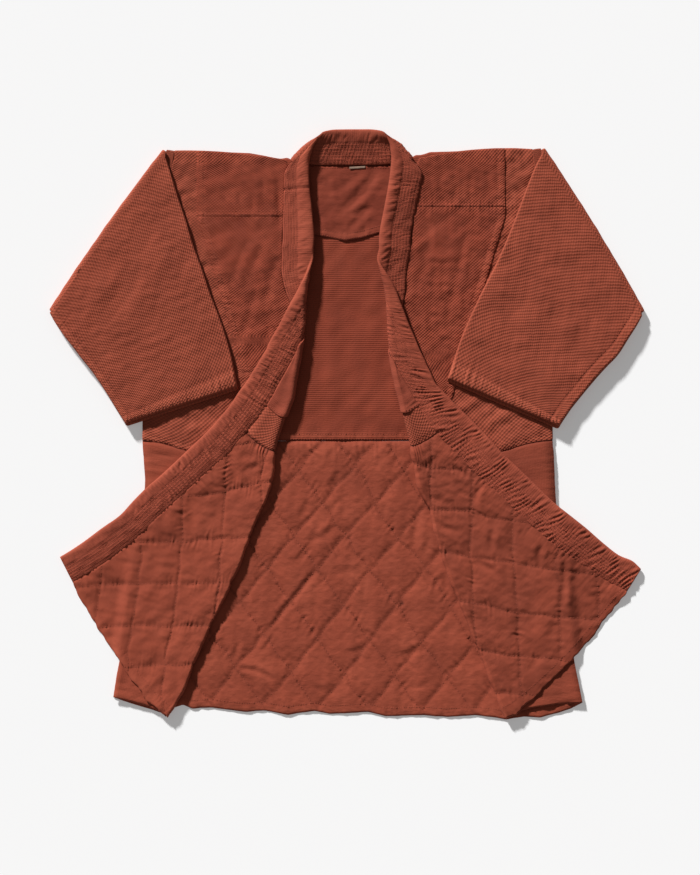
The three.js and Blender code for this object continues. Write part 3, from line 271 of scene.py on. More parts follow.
def unit(v):
    return v / np.maximum(np.linalg.norm(v, axis=-1, keepdims=True), 1e-9)


# One at no distance, fading out over about the width given
def hill(away, width):
    return np.exp(-((away / width) ** 2))


# A smooth curve through rows of values, read at the places asked for
def through(knots, values, at):
    slopes = np.gradient(values, knots, axis=0)
    place = np.clip(np.searchsorted(knots, at, side="right") - 1, 0, len(knots) - 2)
    step = (knots[place + 1] - knots[place])[:, None]
    s = (at - knots[place])[:, None] / step
    a, b = values[place], values[place + 1]
    leave, arrive = slopes[place] * step, slopes[place + 1] * step
    return (
        (2 * s**3 - 3 * s**2 + 1) * a
        + (s**3 - 2 * s**2 + s) * leave
        + (3 * s**2 - 2 * s**3) * b
        + (s**3 - s**2) * arrive
    )


# Soft uneven ground made of a few waves in every direction
def ripple(x, y, size, seed, waves=16):
    dice = np.random.default_rng(seed)
    total = np.zeros_like(np.asarray(x, dtype=float))
    for _ in range(waves):
        turn = dice.uniform(0, 2 * math.pi)
        length = size * dice.uniform(0.7, 1.5)
        start = dice.uniform(0, 2 * math.pi)
        total = total + np.sin((x * math.cos(turn) + y * math.sin(turn)) * 2 * math.pi / length + start)
    return total / math.sqrt(waves)


def curvedLine(x1, y1, x2, y2, bend, count=14):
    s = np.linspace(0, 1, count)
    along = np.array([x2 - x1, y2 - y1])
    aside = np.array([-along[1], along[0]]) / np.hypot(*along)
    bow = bend * 4 * s * (1 - s)
    return np.stack([x1 + along[0] * s + aside[0] * bow, y1 + along[1] * s + aside[1] * bow], axis=1)


# How far points lie from a line, on which side, and how far along it
def fromLine(x, y, line):
    best = np.full(x.shape, 1e9)
    side = np.zeros(x.shape)
    along = np.zeros(x.shape)
    lengths = np.hypot(*(line[1:] - line[:-1]).T)
    gone = np.concatenate([[0], np.cumsum(lengths)])
    for k in range(len(line) - 1):
        a, b = line[k], line[k + 1]
        dx, dy = (b - a) / lengths[k]
        reach = np.clip((x - a[0]) * dx + (y - a[1]) * dy, 0, lengths[k])
        away = np.hypot(x - a[0] - reach * dx, y - a[1] - reach * dy)
        near = away < best
        best = np.where(near, away, best)
        side = np.where(near, np.sign(dx * (y - a[1]) - dy * (x - a[0])), side)
        along = np.where(near, gone[k] + reach, along)
    return best, side, along, gone[-1]


# Creases: a narrow trough that fades at both ends, with a soft lip on its left
def creased(x, y, creases):
    height = np.zeros(x.shape)
    for x1, y1, x2, y2, bend, depth, width in creases:
        line = curvedLine(x1, y1, x2, y2, bend)
        reach = width * 4
        low, high = line.min(axis=0) - reach, line.max(axis=0) + reach
        inside = (x > low[0]) & (x < high[0]) & (y > low[1]) & (y < high[1])
        if not inside.any():
            continue
        away, side, along, length = fromLine(x[inside], y[inside], line)
        ends = smooth(along / (length * 0.3)) * smooth((length - along) / (length * 0.3))
        ends = np.maximum(ends, 0) + 0.12 * hill(away, width)
        trough = -hill(away, width)
        lip = 0.75 * hill(away * side - 1.5 * width, 1.1 * width)
        far = 0.35 * hill(-away * side - 1.6 * width, 1.2 * width)
        height[inside] += depth * ends * (trough + lip + far)
    return height


# Small gathers that a row of stitching draws up on both sides of itself
def gathered(away, along, pitch, depth, reach, seed):
    wobble = 2.6 * ripple(along, away * 0.6, pitch * 4, seed, 8)
    size = np.clip(0.5 + 0.75 * ripple(along, away * 0, pitch * 2.4, seed + 1, 8), 0.03, 1.4)
    return depth * size * np.exp(-away / reach) * np.sin(2 * math.pi * along / pitch + wobble)


# Quilting in diamonds. The stitched corners pull the even lattice a little out of true.
def latticeOf(quilt, x, y):
    dx, dy = x - quilt["x"], y - quilt["y"]
    (ax, ay), (bx, by) = quilt["a"], quilt["b"]
    area = ax * by - ay * bx
    return (dx * by - dy * bx) / area, (dy * ax - dx * ay) / area, abs(area)


quilting = {"reach": 42.0, "slack": 0.25, "wander": 1.3, "groove": 1.5, "shift": 37.0}


# How far the stitched corners and a slow wander draw the lattice aside
def quiltDrift(quilt, x, y):
    (ax, ay), (bx, by) = quilt["a"], quilt["b"]
    corners = np.array(quilt["corners"])
    i, j, _ = latticeOf(quilt, corners[:, 0], corners[:, 1])
    wrongX = corners[:, 0] - quilt["x"] - ax * np.round(i) - bx * np.round(j)
    wrongY = corners[:, 1] - quilt["y"] - ay * np.round(i) - by * np.round(j)
    weights = np.full(x.shape, quilting["slack"])
    pullX, pullY = np.zeros(x.shape), np.zeros(x.shape)
    for (cx, cy), wx, wy in zip(corners, wrongX, wrongY):
        near = np.exp(-((x - cx) ** 2 + (y - cy) ** 2) / quilting["reach"] ** 2)
        weights += near
        pullX += near * wx
        pullY += near * wy
    wander = [quilting["wander"] * ripple(x, y, quilting["reach"], quilt["seed"] + k) for k in (0, 1)]
    return pullX / weights - wander[0], pullY / weights - wander[1]


# Height of the quilting, and the distance to its nearest line
def quilted(quilt, x, y):
    lengthA, lengthB = math.hypot(*quilt["a"]), math.hypot(*quilt["b"])
    driftX, driftY = quiltDrift(quilt, x, y)
    i, j, area = latticeOf(quilt, x - driftX, y - driftY)
    fromI = np.abs(i - np.round(i)) * area / lengthB
    fromJ = np.abs(j - np.round(j)) * area / lengthA
    fill = (1 - np.exp(-fromI / quilt["soft"])) * (1 - np.exp(-fromJ / quilt["soft"]))
    height = quilt["puff"] * fill
    for away, along, line in ((fromI, j * lengthB, np.round(i)), (fromJ, i * lengthA, np.round(j))):
        height -= quilt["dip"] * hill(away, quilting["groove"])
        shift = along + quilting["shift"] * line
        height += gathered(away, shift, 6.3, quilt["gather"], 6.5, quilt["seed"] + 3)
        height += gathered(away, shift, 3.9, 0.6 * quilt["gather"], 3.2, quilt["seed"] + 5)
    return height, np.minimum(fromI, fromJ)


# Meshes

# Grid corners as faces, open or joined round in the second direction
def gridFaces(rows, columns, ring=False):
    index = np.arange(rows * columns).reshape(rows, columns)
    if ring:
        index = np.concatenate([index, index[:, :1]], axis=1)
    a, b = index[:-1, :-1].ravel(), index[:-1, 1:].ravel()
    c, d = index[1:, :-1].ravel(), index[1:, 1:].ravel()
    return np.stack([a, c, d, b], axis=1)


# The plain side of a wall: large faces that keep every point of the rim
def coarseFaces(rows, columns, step, ring=False):
    rowMarks = list(range(0, rows - 1, step)) + [rows - 1]
    columnMarks = list(range(0, columns - 1, step)) + [columns - 1]
    if ring:
        columnMarks = list(range(0, columns, step)) + [columns]
    faces = []
    for r0, r1 in zip(rowMarks, rowMarks[1:]):
        for c0, c1 in zip(columnMarks, columnMarks[1:]):
            top = range(c0, c1 + 1) if r0 == 0 else (c0, c1)
            end = range(r0, r1 + 1) if c1 == columns - 1 and not ring else (r0, r1)
            bottom = range(c1, c0 - 1, -1) if r1 == rows - 1 else (c1, c0)
            start = range(r1, r0 - 1, -1) if c0 == 0 and not ring else (r1, r0)
            loop = [(r0, c) for c in top] + [(r, c1) for r in end][1:]
            loop += [(r1, c) for c in bottom][1:] + [(r, c0) for r in start][1:-1]
            faces.append([r * columns + c % columns for r, c in loop])
    return faces


# A closed wall between two grids, its rim rounded out
def wall(front, rear, cut, tone, step, ring=False, rounding=0.35):
    rows, columns = front.shape[:2]
    count = rows * columns
    if ring:
        rims = [[(r, c) for c in range(columns)] for r in (0, rows - 1)]
    else:
        loop = [(0, c) for c in range(columns - 1)] + [(r, columns - 1) for r in range(rows - 1)]
        loop += [(rows - 1, c) for c in range(columns - 1, 0, -1)]
        loop += [(r, 0) for r in range(rows - 1, 0, -1)]
        rims = [loop]
    faces = gridFaces(rows, columns, ring).tolist()
    faces += [[count + k for k in face] for face in coarseFaces(rows, columns, step, ring)]
    points = [front.reshape(-1, 3), rear.reshape(-1, 3)]
    cuts = [cut.reshape(-1, 2), cut.reshape(-1, 2)]
    tones = [tone.reshape(-1), tone.reshape(-1)]
    made = 2 * count
    for number, rim in enumerate(rims):
        r, c = np.array(rim).T
        inR = np.where(r == 0, 1, np.where(r == rows - 1, rows - 2, r))
        inC = c if ring else np.where(c == 0, 1, np.where(c == columns - 1, columns - 2, c))
        thick = np.linalg.norm(front[r, c] - rear[r, c], axis=-1, keepdims=True)
        out = unit(front[r, c] - front[inR, inC])
        points.append((front[r, c] + rear[r, c]) / 2 + out * thick * rounding)
        cuts.append(cut[r, c])
        tones.append(tone[r, c])
        for k in range(len(rim)):
            n = (k + 1) % len(rim)
            a, b = r[k] * columns + c[k], r[n] * columns + c[n]
            m, o = made + k, made + n
            sides = [[a, b, o, m], [m, o, count + b, count + a]]
            faces += [side[::-1] for side in sides] if number == 1 else sides
        made += len(rim)
    return np.concatenate(points), faces, np.concatenate(cuts), np.concatenate(tones)


# One mesh of a piece, in metres, without the points that no face uses
def meshPiece(name, points, faces, cut, tone, material):
    used = np.zeros(len(points), dtype=bool)
    used[np.concatenate([np.asarray(face) for face in faces])] = True
    renumber = np.cumsum(used) - 1
    faces = [[int(renumber[k]) for k in face] for face in faces]
    points, cut, tone = points[used] * 0.001, cut[used], tone[used]
    corners = np.array([(f[0], f[k], f[k + 1]) for f in faces for k in range(1, len(f) - 1)])
    a, b, c = (points[corners[:, k]] for k in range(3))
    if (a * np.cross(b, c)).sum() < 0:
        faces = [face[::-1] for face in faces]
    mesh = bpy.data.meshes.new(name)
    mesh.from_pydata(points.tolist(), [], faces)
    mesh.polygons.foreach_set("use_smooth", np.ones(len(faces), dtype=bool))
    pattern = mesh.attributes.new("cut", "FLOAT_VECTOR", "POINT")
    pattern.data.foreach_set("vector", np.column_stack([cut, np.zeros(len(cut))]).ravel())
    # tone: a colour factor per point that carries real fading and also painted shade and painted highlights
    shade = mesh.attributes.new("tone", "FLOAT", "POINT")
    shade.data.foreach_set("value", np.ascontiguousarray(tone, dtype=float))
    mesh.materials.append(material)
    mesh.validate()
    piece = bpy.data.objects.new(name, mesh)
    scene.collection.objects.link(piece)
    return piece


# Materials

# A cloth of raised weave, fibres, flecks and uneven dye, drawn in the cloth's own millimetres. The tone
# attribute scales its colour and pales it towards a lighter tint; tone holds real fading, painted shade in
# grooves and painted highlights on folds.
def clothMaterial(name, look):
    material = bpy.data.materials.new(name)
    material.use_nodes = True
    tree = material.node_tree
    shader = tree.nodes["Principled BSDF"]

    def put(socket, value):
        if isinstance(value, (int, float)):
            socket.default_value = value
        else:
            tree.links.new(value, socket)

    def work(operation, a, b=0.0, clamp=False):
        made = tree.nodes.new("ShaderNodeMath")
        made.operation = operation
        made.use_clamp = clamp
        put(made.inputs[0], a)
        put(made.inputs[1], b)
        return made.outputs[0]

    def cloud(scale, detail=2.0, stretch=(1.0, 1.0)):
        place = tree.nodes.new("ShaderNodeVectorMath")
        place.operation = "MULTIPLY"
        tree.links.new(cutPlace.outputs["Vector"], place.inputs[0])
        place.inputs[1].default_value = (stretch[0] / scale, stretch[1] / scale, 1.0)
        made = tree.nodes.new("ShaderNodeTexNoise")
        tree.links.new(place.outputs[0], made.inputs["Vector"])
        made.inputs["Scale"].default_value = 1.0
        made.inputs["Detail"].default_value = detail
        return made.outputs["Fac"]

    cutPlace = tree.nodes.new("ShaderNodeAttribute")
    cutPlace.attribute_name = "cut"
    toneNode = tree.nodes.new("ShaderNodeAttribute")
    toneNode.attribute_name = "tone"
    tone = toneNode.outputs["Fac"]
    axes = tree.nodes.new("ShaderNodeSeparateXYZ")
    tree.links.new(cutPlace.outputs["Vector"], axes.inputs[0])

    wobble = work("MULTIPLY", work("SUBTRACT", cloud(9.0), 0.5), look["wobble"])
    x = work("ADD", axes.outputs[0], wobble)
    y = work("ADD", axes.outputs[1], wobble)
    waveX = work("COSINE", work("MULTIPLY", x, 2 * math.pi / look["grain"][0]))
    waveY = work("COSINE", work("MULTIPLY", y, 2 * math.pi / look["grain"][1]))
    if look["weave"] == "rice":
        raised = work("MULTIPLY_ADD", work("MULTIPLY", waveX, waveY), 0.5)
        raised.node.inputs[2].default_value = 0.5
    elif look["weave"] == "ribs":
        both = work("ADD", work("MULTIPLY", waveY, 0.7), work("MULTIPLY", waveX, 0.3))
        raised = work("MULTIPLY_ADD", both, 0.5)
        raised.node.inputs[2].default_value = 0.5
    else:
        raised = work("MULTIPLY", work("ADD", waveX, waveY), 0.25)
        raised = work("ADD", raised, 0.5)
    raised = work("POWER", raised, look["sharp"])
    fibre = cloud(0.9, 3.0, look["fibre"])
    worn = cloud(26.0, 3.0)
    fleck = cloud(3.4, 2.0, look["fibre"])

    height = work("MULTIPLY", raised, look["rise"])
    height = work("ADD", height, work("MULTIPLY", fibre, look["fuzz"]))
    height = work("ADD", height, work("MULTIPLY", fleck, look["slub"]))
    bump = tree.nodes.new("ShaderNodeBump")
    bump.inputs["Distance"].default_value = 0.001
    bump.inputs["Strength"].default_value = 1.0
    tree.links.new(height, bump.inputs["Height"])
    tree.links.new(bump.outputs[0], shader.inputs["Normal"])

    # tone brightens or darkens the colour: real fading, painted shade in grooves and seams, painted
    # highlights on folds
    light = work("ADD", tone, 1.0)
    shades = ((raised, look["contrast"]), (worn, look["fade"]), (fleck, 0.14), (fibre, 0.10))
    for pattern, amount in shades:
        shade = work("ADD", 1.0 - amount * 0.5, work("MULTIPLY", pattern, amount))
        light = work("MULTIPLY", light, shade)
    tint = tree.nodes.new("ShaderNodeVectorMath")
    tint.operation = "SCALE"
    tint.inputs[0].default_value = look["colour"]
    tree.links.new(light, tint.inputs["Scale"])
    # Where tone is above nothing the colour also pales, for faded wear and painted highlights alike
    pale = tree.nodes.new("ShaderNodeMix")
    pale.data_type = "RGBA"
    put(pale.inputs["Factor"], work("MULTIPLY", work("MAXIMUM", tone, 0.0), 0.35, True))
    tree.links.new(tint.outputs[0], pale.inputs["A"])
    pale.inputs["B"].default_value = (*look["fadedAndLit"], 1.0)
    tree.links.new(pale.outputs["Result"], shader.inputs["Base Color"])
    rough = work("ADD", look["rough"] - 0.04, work("MULTIPLY", worn, 0.08))
    tree.links.new(rough, shader.inputs["Roughness"])
    shader.inputs["Specular IOR Level"].default_value = 0.25
    shader.inputs["Sheen Weight"].default_value = look["nap"]
    shader.inputs["Sheen Roughness"].default_value = 0.55
    shader.inputs["Sheen Tint"].default_value = (*look["fadedAndLit"], 1.0)
    return material


def plainMaterial(name, colour, rough):
    material = bpy.data.materials.new(name)
    material.use_nodes = True
    shader = material.node_tree.nodes["Principled BSDF"]
    shader.inputs["Base Color"].default_value = (*colour, 1.0)
    shader.inputs["Roughness"].default_value = rough
    shader.inputs["Specular IOR Level"].default_value = 0.1
    return material


# The paler tint that faded wear and painted highlights mix towards
fadedAndLitRust = (0.50, 0.17, 0.10)
riceLook = {
    "colour": (0.262, 0.053, 0.0265), "fadedAndLit": fadedAndLitRust, "weave": "rice", "grain": (5.0, 4.4),
    "sharp": 1.3, "rise": 0.55, "fuzz": 0.22, "slub": 0.25, "contrast": 0.4, "fade": 0.26,
    "wobble": 1.1, "fibre": (1.0, 1.0), "rough": 0.93, "nap": 0.05,
}
backLook = {
    **riceLook, "colour": (0.214, 0.038, 0.0178), "weave": "ribs", "grain": (30.0, 2.8), "sharp": 1.0,
    "rise": 0.3, "contrast": 0.2,
}
chestLook = {
    **riceLook, "colour": (0.226, 0.0405, 0.0192), "weave": "rice", "grain": (4.6, 4.0), "sharp": 1.2,
    "rise": 0.66, "contrast": 0.52, "fade": 0.45, "slub": 0.4,
}
quiltLook = {
    **riceLook, "colour": (0.255, 0.0495, 0.0243), "weave": "plain", "grain": (1.6, 1.6), "sharp": 1.0,
    "rise": 0.1, "fuzz": 0.25, "slub": 0.36, "contrast": 0.08, "fade": 0.3, "fibre": (0.55, 1.0),
}
plainLook = {**quiltLook, "colour": (0.196, 0.0345, 0.0168), "slub": 0.32, "fade": 0.2}
lapelLook = {
    **quiltLook, "colour": (0.256, 0.0505, 0.0258), "weave": "ribs", "grain": (60.0, 3.0), "rise": 0.12,
    "contrast": 0.07, "wobble": 2.2, "slub": 0.3, "fibre": (1.0, 1.0),
}
facingLook = {**plainLook, "colour": (0.245, 0.048, 0.025)}
threadLook = {**plainLook, "colour": (0.30, 0.07, 0.04), "rise": 0.0, "slub": 0.1}
labelLook = {**plainLook, "colour": (0.25, 0.17, 0.125), "slub": 0.15}

riceCloth = clothMaterial("riceGrainCotton", riceLook)
backCloth = clothMaterial("innerBackCotton", backLook)
chestCloth = clothMaterial("ribbedCotton", chestLook)
quiltCloth = clothMaterial("quiltedCotton", quiltLook)
plainCloth = clothMaterial("plainCotton", plainLook)
lapelCloth = clothMaterial("lapelCotton", lapelLook)
facingCloth = clothMaterial("facingCotton", facingLook)
threadStuff = clothMaterial("sewingThread", threadLook)
labelTape = clothMaterial("neckTape", labelLook)


# Sewing: each stitch is one short thread lying on the cloth

def stitchPoints(line, pitch, seed, jitter=0.12, reach=0.5):
    steps = np.linalg.norm(line[1:] - line[:-1], axis=1)
    gone = np.concatenate([[0], np.cumsum(steps)])
    count = max(2, int(gone[-1] / pitch))
    dice = np.random.default_rng(seed)
    at = (np.arange(count) + 0.5 + dice.uniform(-jitter, jitter, count)) * gone[-1] / count
    behind, where, ahead = (
        np.stack([np.interp(at + move, gone, line[:, k]) for k in range(line.shape[1])], axis=1)
        for move in (-reach, 0, reach)
    )
    return where, unit(ahead - behind)


def onSurface(tree, where, along, above=60):
    placed, ups, ways = [], [], []
    for (x, y), (dx, dy) in zip(where[:, :2], along[:, :2]):
        hit, normal = tree.ray_cast(Vector((x, y, above)), Vector((0, 0, -1)))[:2]
        if hit is None:
            continue
        up = np.array(normal) * (1 if normal.z > 0 else -1)
        way = np.array([dx, dy, 0.0])
        way -= up * way.dot(up)
        placed.append(np.array(hit))
        ups.append(up)
        ways.append(way / np.linalg.norm(way))
    return np.array(placed), np.array(ways), np.array(ups)


def sewn(tree, line, pitch, seed, jitter=0.12):
    return onSurface(tree, *stitchPoints(line, pitch, seed, jitter))


# Stitches of one piece, each an eight-sided grain: two ends, two sides, top and underside
def threadPiece(name, groups, material, long=2.5, wide=0.75):
    points, faces, made = [], [], 0
    corners = np.array([
        [0, 4, 2], [2, 4, 1], [1, 4, 3], [3, 4, 0], [0, 2, 5], [2, 1, 5], [1, 3, 5], [3, 0, 5],
    ])
    for placed, ways, ups in groups:
        if len(placed) == 0:
            continue
        aside = np.cross(ups, ways)
        base = placed + ups * 0.12
        shape = [
            base - ways * long / 2, base + ways * long / 2, base - aside * wide / 2,
            base + aside * wide / 2, base + ups * 0.42, base - ups * 0.4,
        ]
        points.append(np.stack(shape, axis=1).reshape(-1, 3))
        starts = made + 6 * np.arange(len(placed))
        faces.append((starts[:, None, None] + corners[None]).reshape(-1, 3))
        made += 6 * len(placed)
    points = np.concatenate(points)
    faces = np.concatenate(faces).tolist()
    dice = np.random.default_rng(len(points))
    tone = np.repeat(dice.uniform(-0.08, 0.12, len(points) // 6), 6)
    return meshPiece(name, points, faces, points[:, :2], tone, material)


def surfaceTree(front, ring=False):
    rows, columns = front.shape[:2]
    return BVHTree.FromPolygons(front.reshape(-1, 3).tolist(), gridFaces(rows, columns, ring).tolist())


def finishSheet(piece, node, others=()):
    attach(piece, "root")
    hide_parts(node)
    for other in others:
        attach(other, "root")
    print(piece.name, len(piece.data.polygons), "faces")


# Back body and back skirt, flat on the surface, their inner sides up

def lineX(points, y):
    points = sorted(points, key=lambda p: p[1])
    return np.interp(y, [p[1] for p in points], [p[0] for p in points])


def lineY(points, x):
    return np.interp(x, [p[0] for p in points], [p[1] for p in points])


# Places of a grid between two edges and two sides, and how far down each row lies
def flatGrid(top, bottom, left, right, columns, rows):
    u = np.linspace(0, 1, columns)[None, :]
    t = np.linspace(0, 1, rows)[:, None]
    topX = mix(left[0][0], right[0][0], u)
    bottomX = mix(left[-1][0], right[-1][0], u)
    y = mix(lineY(top, topX), lineY(bottom, bottomX), t)
    x = mix(lineX(left, y), lineX(right, y), u)
    return x, y, np.broadcast_to(t, x.shape)


def flatWall(x, y, z, under, tone, step):
    rear = np.stack([x, y, under + np.zeros(x.shape)], axis=-1)
    front = np.stack([x, y, z], axis=-1)
    return front, rear, wall(front, rear, np.stack([x, y], axis=-1), tone, step)


backBody = {
    "thick": 1.7, "least": 0.5, "waist": -22.4, "grid": (230, 145), "neckCorners": (-80, 91),
    "cornerRise": 4, "cornerWide": 8, "stitchPitch": 3.6, "seamRows": (2.2, 9.5),
    "gatherPitch": 4.2, "gather": 0.6, "flat": (0.565, 0.402),
}


def makeBackBody():
    waist = backBody["waist"]
    bottom = [[-281, waist], [282, waist]]
    x, y, t = flatGrid(backTopEdge, bottom, backLeftEdge, backRightEdge, *backBody["grid"])
    for neckCorner in backBody["neckCorners"]:
        y = y + backBody["cornerRise"] * hill(x - neckCorner, backBody["cornerWide"]) * (1 - t) ** 8
    fromSeam = y - waist
    z = backBody["thick"] + creased(x, y, backBodyCreases)
    z += 0.35 * hill(fromSeam - 5, 4)
    z += gathered(np.abs(fromSeam - 6), x, backBody["gatherPitch"], backBody["gather"], 7, 21)
    z += 0.3 * ripple(x, y, 60, 22) + 0.2 * ripple(x, y, 26, 24)
    z -= 0.9 * hill(fromSeam, 1.6)
    tone = 0.05 * ripple(x, y, 90, 23) + 0.16 * hill(fromSeam - 6, 5)
    # Painted shade in the groove of the waist seam
    tone -= 0.35 * hill(fromSeam, 1.8)
    front, rear, made = flatWall(x, y, np.maximum(z, backBody["least"]), 0, tone, 12)
    piece = meshPiece("backBody", *made, backCloth)
    tree = surfaceTree(front)
    groups = []
    for number, up in enumerate(backBody["seamRows"]):
        line = np.array([[-270, waist + up], [275, waist + up]], dtype=float)
        groups.append(sewn(tree, line, backBody["stitchPitch"], 31 + number))
    thread = threadPiece("backBodySewing", groups, threadStuff)
    finishSheet(piece, "back_upper", [thread])


backSkirt = {
    "thick": 1.5, "least": 0.6, "most": 5, "waist": -22.9, "length": 370, "grid": (262, 158),
    "waistGather": 0.9, "hemGather": 0.4, "hemStitch": 11, "stitchPitch": 3.4,
    "sewnBox": (-250, -386, 235, -30), "hole": (75.5, -245.5), "holeWide": 2.6,
    "flat": (0.66, 0.385),
}
backQuilt = {
    "x": -33, "y": -110.5, "a": (34.4, -47.2), "b": (-37.1, -45.8), "corners": backCorners,
    "seed": 41, "soft": 7.0, "puff": 1.7, "dip": 0.6, "gather": 0.95,
}


# Moves points of the even lattice to where the stitched lines really run
def straightened(quilt, line):
    moved = line
    for _ in range(3):
        moved = line + np.stack(quiltDrift(quilt, moved[:, 0], moved[:, 1]), axis=1)
    return moved


def quiltStitches(quilt, tree, box, seed, most=13, count=900):
    (ax, ay), (bx, by) = quilt["a"], quilt["b"]
    groups = []
    steps = np.linspace(-most - 1, most + 1, count)
    for number in range(-most, most + 1):
        same = np.full(count, number)
        for i, j in ((same, steps), (steps, same)):
            line = np.stack([quilt["x"] + ax * i + bx * j, quilt["y"] + ay * i + by * j], axis=1)
            line = straightened(quilt, line)
            line = line[((line > box[:2]) & (line < box[2:])).all(axis=1)]
            if len(line) > 8:
                groups.append(sewn(tree, line, 4.6, seed + number, 0.2))
    return groups


def makeBackSkirt():
    waist = backSkirt["waist"]
    top = [[-281, waist], [282, waist]]
    x, y, t = flatGrid(top, skirtHem, skirtLeftEdge, skirtRightEdge, *backSkirt["grid"])
    raised, fromLineAway = quilted(backQuilt, x, y)
    fromHem = (1 - t) * backSkirt["length"]
    fromSeam = waist - y
    calm = smooth(fromHem / 14) * smooth(fromSeam / 10)
    z = backSkirt["thick"] + raised * (0.25 + 0.75 * calm) + creased(x, y, backSkirtCreases)
    z += 0.35 * ripple(x, y, 34, 51) + 0.22 * ripple(x, y * 1.5, 16, 52)
    z += 0.09 * ripple(x, y * 1.8, 8, 56)
    z += gathered(np.abs(fromSeam - 3), x, 8.5, backSkirt["waistGather"], 14, 53)
    z += gathered(np.abs(fromHem - 9), x, 6.5, backSkirt["hemGather"], 6, 54) + 0.5 * hill(fromHem - 5, 4)
    z -= 1.2 * hill(fromSeam, 2)
    # Painted light and shade following the quilting: paler on the puffs, painted shade along the stitched
    # lines and in the waist seam groove. The paler hem is wear.
    tone = 0.05 * ripple(x, y, 70, 55) + 0.04 * (raised - 1) - 0.12 * hill(fromLineAway, 1.3)
    tone += 0.12 * hill(fromHem - 3, 4) - 0.3 * hill(fromSeam, 1.8)
    # A small hole, dented in and darkened with painted shade inside it
    hole = hill(np.hypot(x - backSkirt["hole"][0], y - backSkirt["hole"][1]), backSkirt["holeWide"])
    z -= 1.0 * hole
    tone -= 0.7 * hole
    z = np.clip(z, backSkirt["least"], backSkirt["most"])
    front, rear, made = flatWall(x, y, z, 0, tone, 12)
    piece = meshPiece("backSkirt", *made, quiltCloth)
    tree = surfaceTree(front)
    groups = quiltStitches(backQuilt, tree, backSkirt["sewnBox"], 60)
    hemLine = np.array([[a, b + backSkirt["hemStitch"]] for a, b in skirtHem if -300 < a < 300])
    groups.append(sewn(tree, hemLine, backSkirt["stitchPitch"], 90))
    thread = threadPiece("backSkirtSewing", groups, threadStuff)
    finishSheet(piece, "back_skirt", [thread])


# Neck yoke and the blank tab under the collar
neckYoke = {
    "half": 62, "top": 354.8, "bottom": 263, "grid": (64, 52), "height": 3.3, "least": 2.5, "under": 2.1,
    "gather": 0.45, "edgeRows": (2.2, 9.5), "stitchPitch": 3.4, "flat": (0.125, 0.104),
}
neckTab = {
    "top": [[3.5, 353.6], [25, 354.8]], "bottom": [[3.5, 351.2], [25, 352.6]], "grid": (24, 8),
    "height": 4.5, "thick": 0.6,
}


def makeYoke():
    half, top, bottom = neckYoke["half"], neckYoke["top"], neckYoke["bottom"]
    left, right = [[-half, top], [-half, bottom]], [[half, top], [half, bottom]]
    x, y, _ = flatGrid([left[0], right[0]], yokeLowerEdge, left, right, *neckYoke["grid"])
    fromEdge = y - lineY(yokeLowerEdge, x)
    z = neckYoke["height"] + creased(x, y, yokeCreases)
    z += 0.4 * ripple(x, y, 26, 71) + 0.2 * ripple(x, y, 12, 74)
    z += gathered(np.abs(fromEdge - 6), x, 4.0, neckYoke["gather"], 6, 72) + 0.3 * hill(fromEdge - 5, 4)
    tone = 0.05 * ripple(x, y, 50, 73) + 0.16 * hill(fromEdge - 6, 5)
    # Painted shade along the sewn lower edge
    tone -= 0.1 * hill(fromEdge, 1.2)
    z = np.maximum(z, neckYoke["least"])
    front, rear, made = flatWall(x, y, z, neckYoke["under"], tone, 8)
    piece = meshPiece("neckYoke", *made, plainCloth)
    tree = surfaceTree(front)
    lines = [np.array(yokeLowerEdge) + [0, up] for up in neckYoke["edgeRows"]]
    pitch = neckYoke["stitchPitch"]
    groups = [sewn(tree, line, pitch, 75 + k) for k, line in enumerate(lines)]
    groups.append(sewn(tree, np.array([[-60, 352.3], [61, 352.3]]), pitch, 79))
    thread = threadPiece("neckYokeSewing", groups, threadStuff)
    others = [thread, makeTab()]
    finishSheet(piece, "neck_yoke", others)


def makeTab():
    top, bottom = neckTab["top"], neckTab["bottom"]
    left, right = [top[0], bottom[0]], [top[1], bottom[1]]
    x, y, _ = flatGrid(top, bottom, left, right, *neckTab["grid"])
    z = neckTab["height"] + 0.1 * ripple(x, y, 8, 81)
    made = flatWall(x, y, z, z - neckTab["thick"], 0 * x, 3)[2]
    piece = meshPiece("neckTab", *made, labelTape)
    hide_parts("neck_label")
    return piece


# Fronts. Every place down a front is worked out from the rows of its table.
rowNames = (
    "startX", "startY", "axisX", "axisY", "inX", "inY", "edgeX", "edgeY",
    "radius", "roll", "upper", "base", "lift", "seamZ", "bent", "bulge",
)
cloth = {
    "wall": 1.8, "band": 6.0, "bandGap": 0.6, "turn": 5.7, "hemTurn": 2.3, "edgeGap": 0.4, "turnGap": 0.8,
    "hemBulge": 15.0, "shortLeg": 15.0, "longLeg": 85.0, "slant": 18.0, "chestBase": 2.3,
    "skirtBase": 3.4, "shoulderRows": 7, "shoulderRun": 16, "rollGap": 16, "rollEnd": 6,
}
bandRadius = cloth["bandGap"] + cloth["band"] / 2
quarter = math.pi / 2 * bandRadius


# Which way the band runs from its free edge, its width, and where its seam is round the turn
def bandParts(row):
    across = np.array([row[4] - row[2], row[5] - row[3]], dtype=float)
    width = np.hypot(*across)
    return across / width, width, -(width + quarter) + row[6] * (width + 2 * quarter)


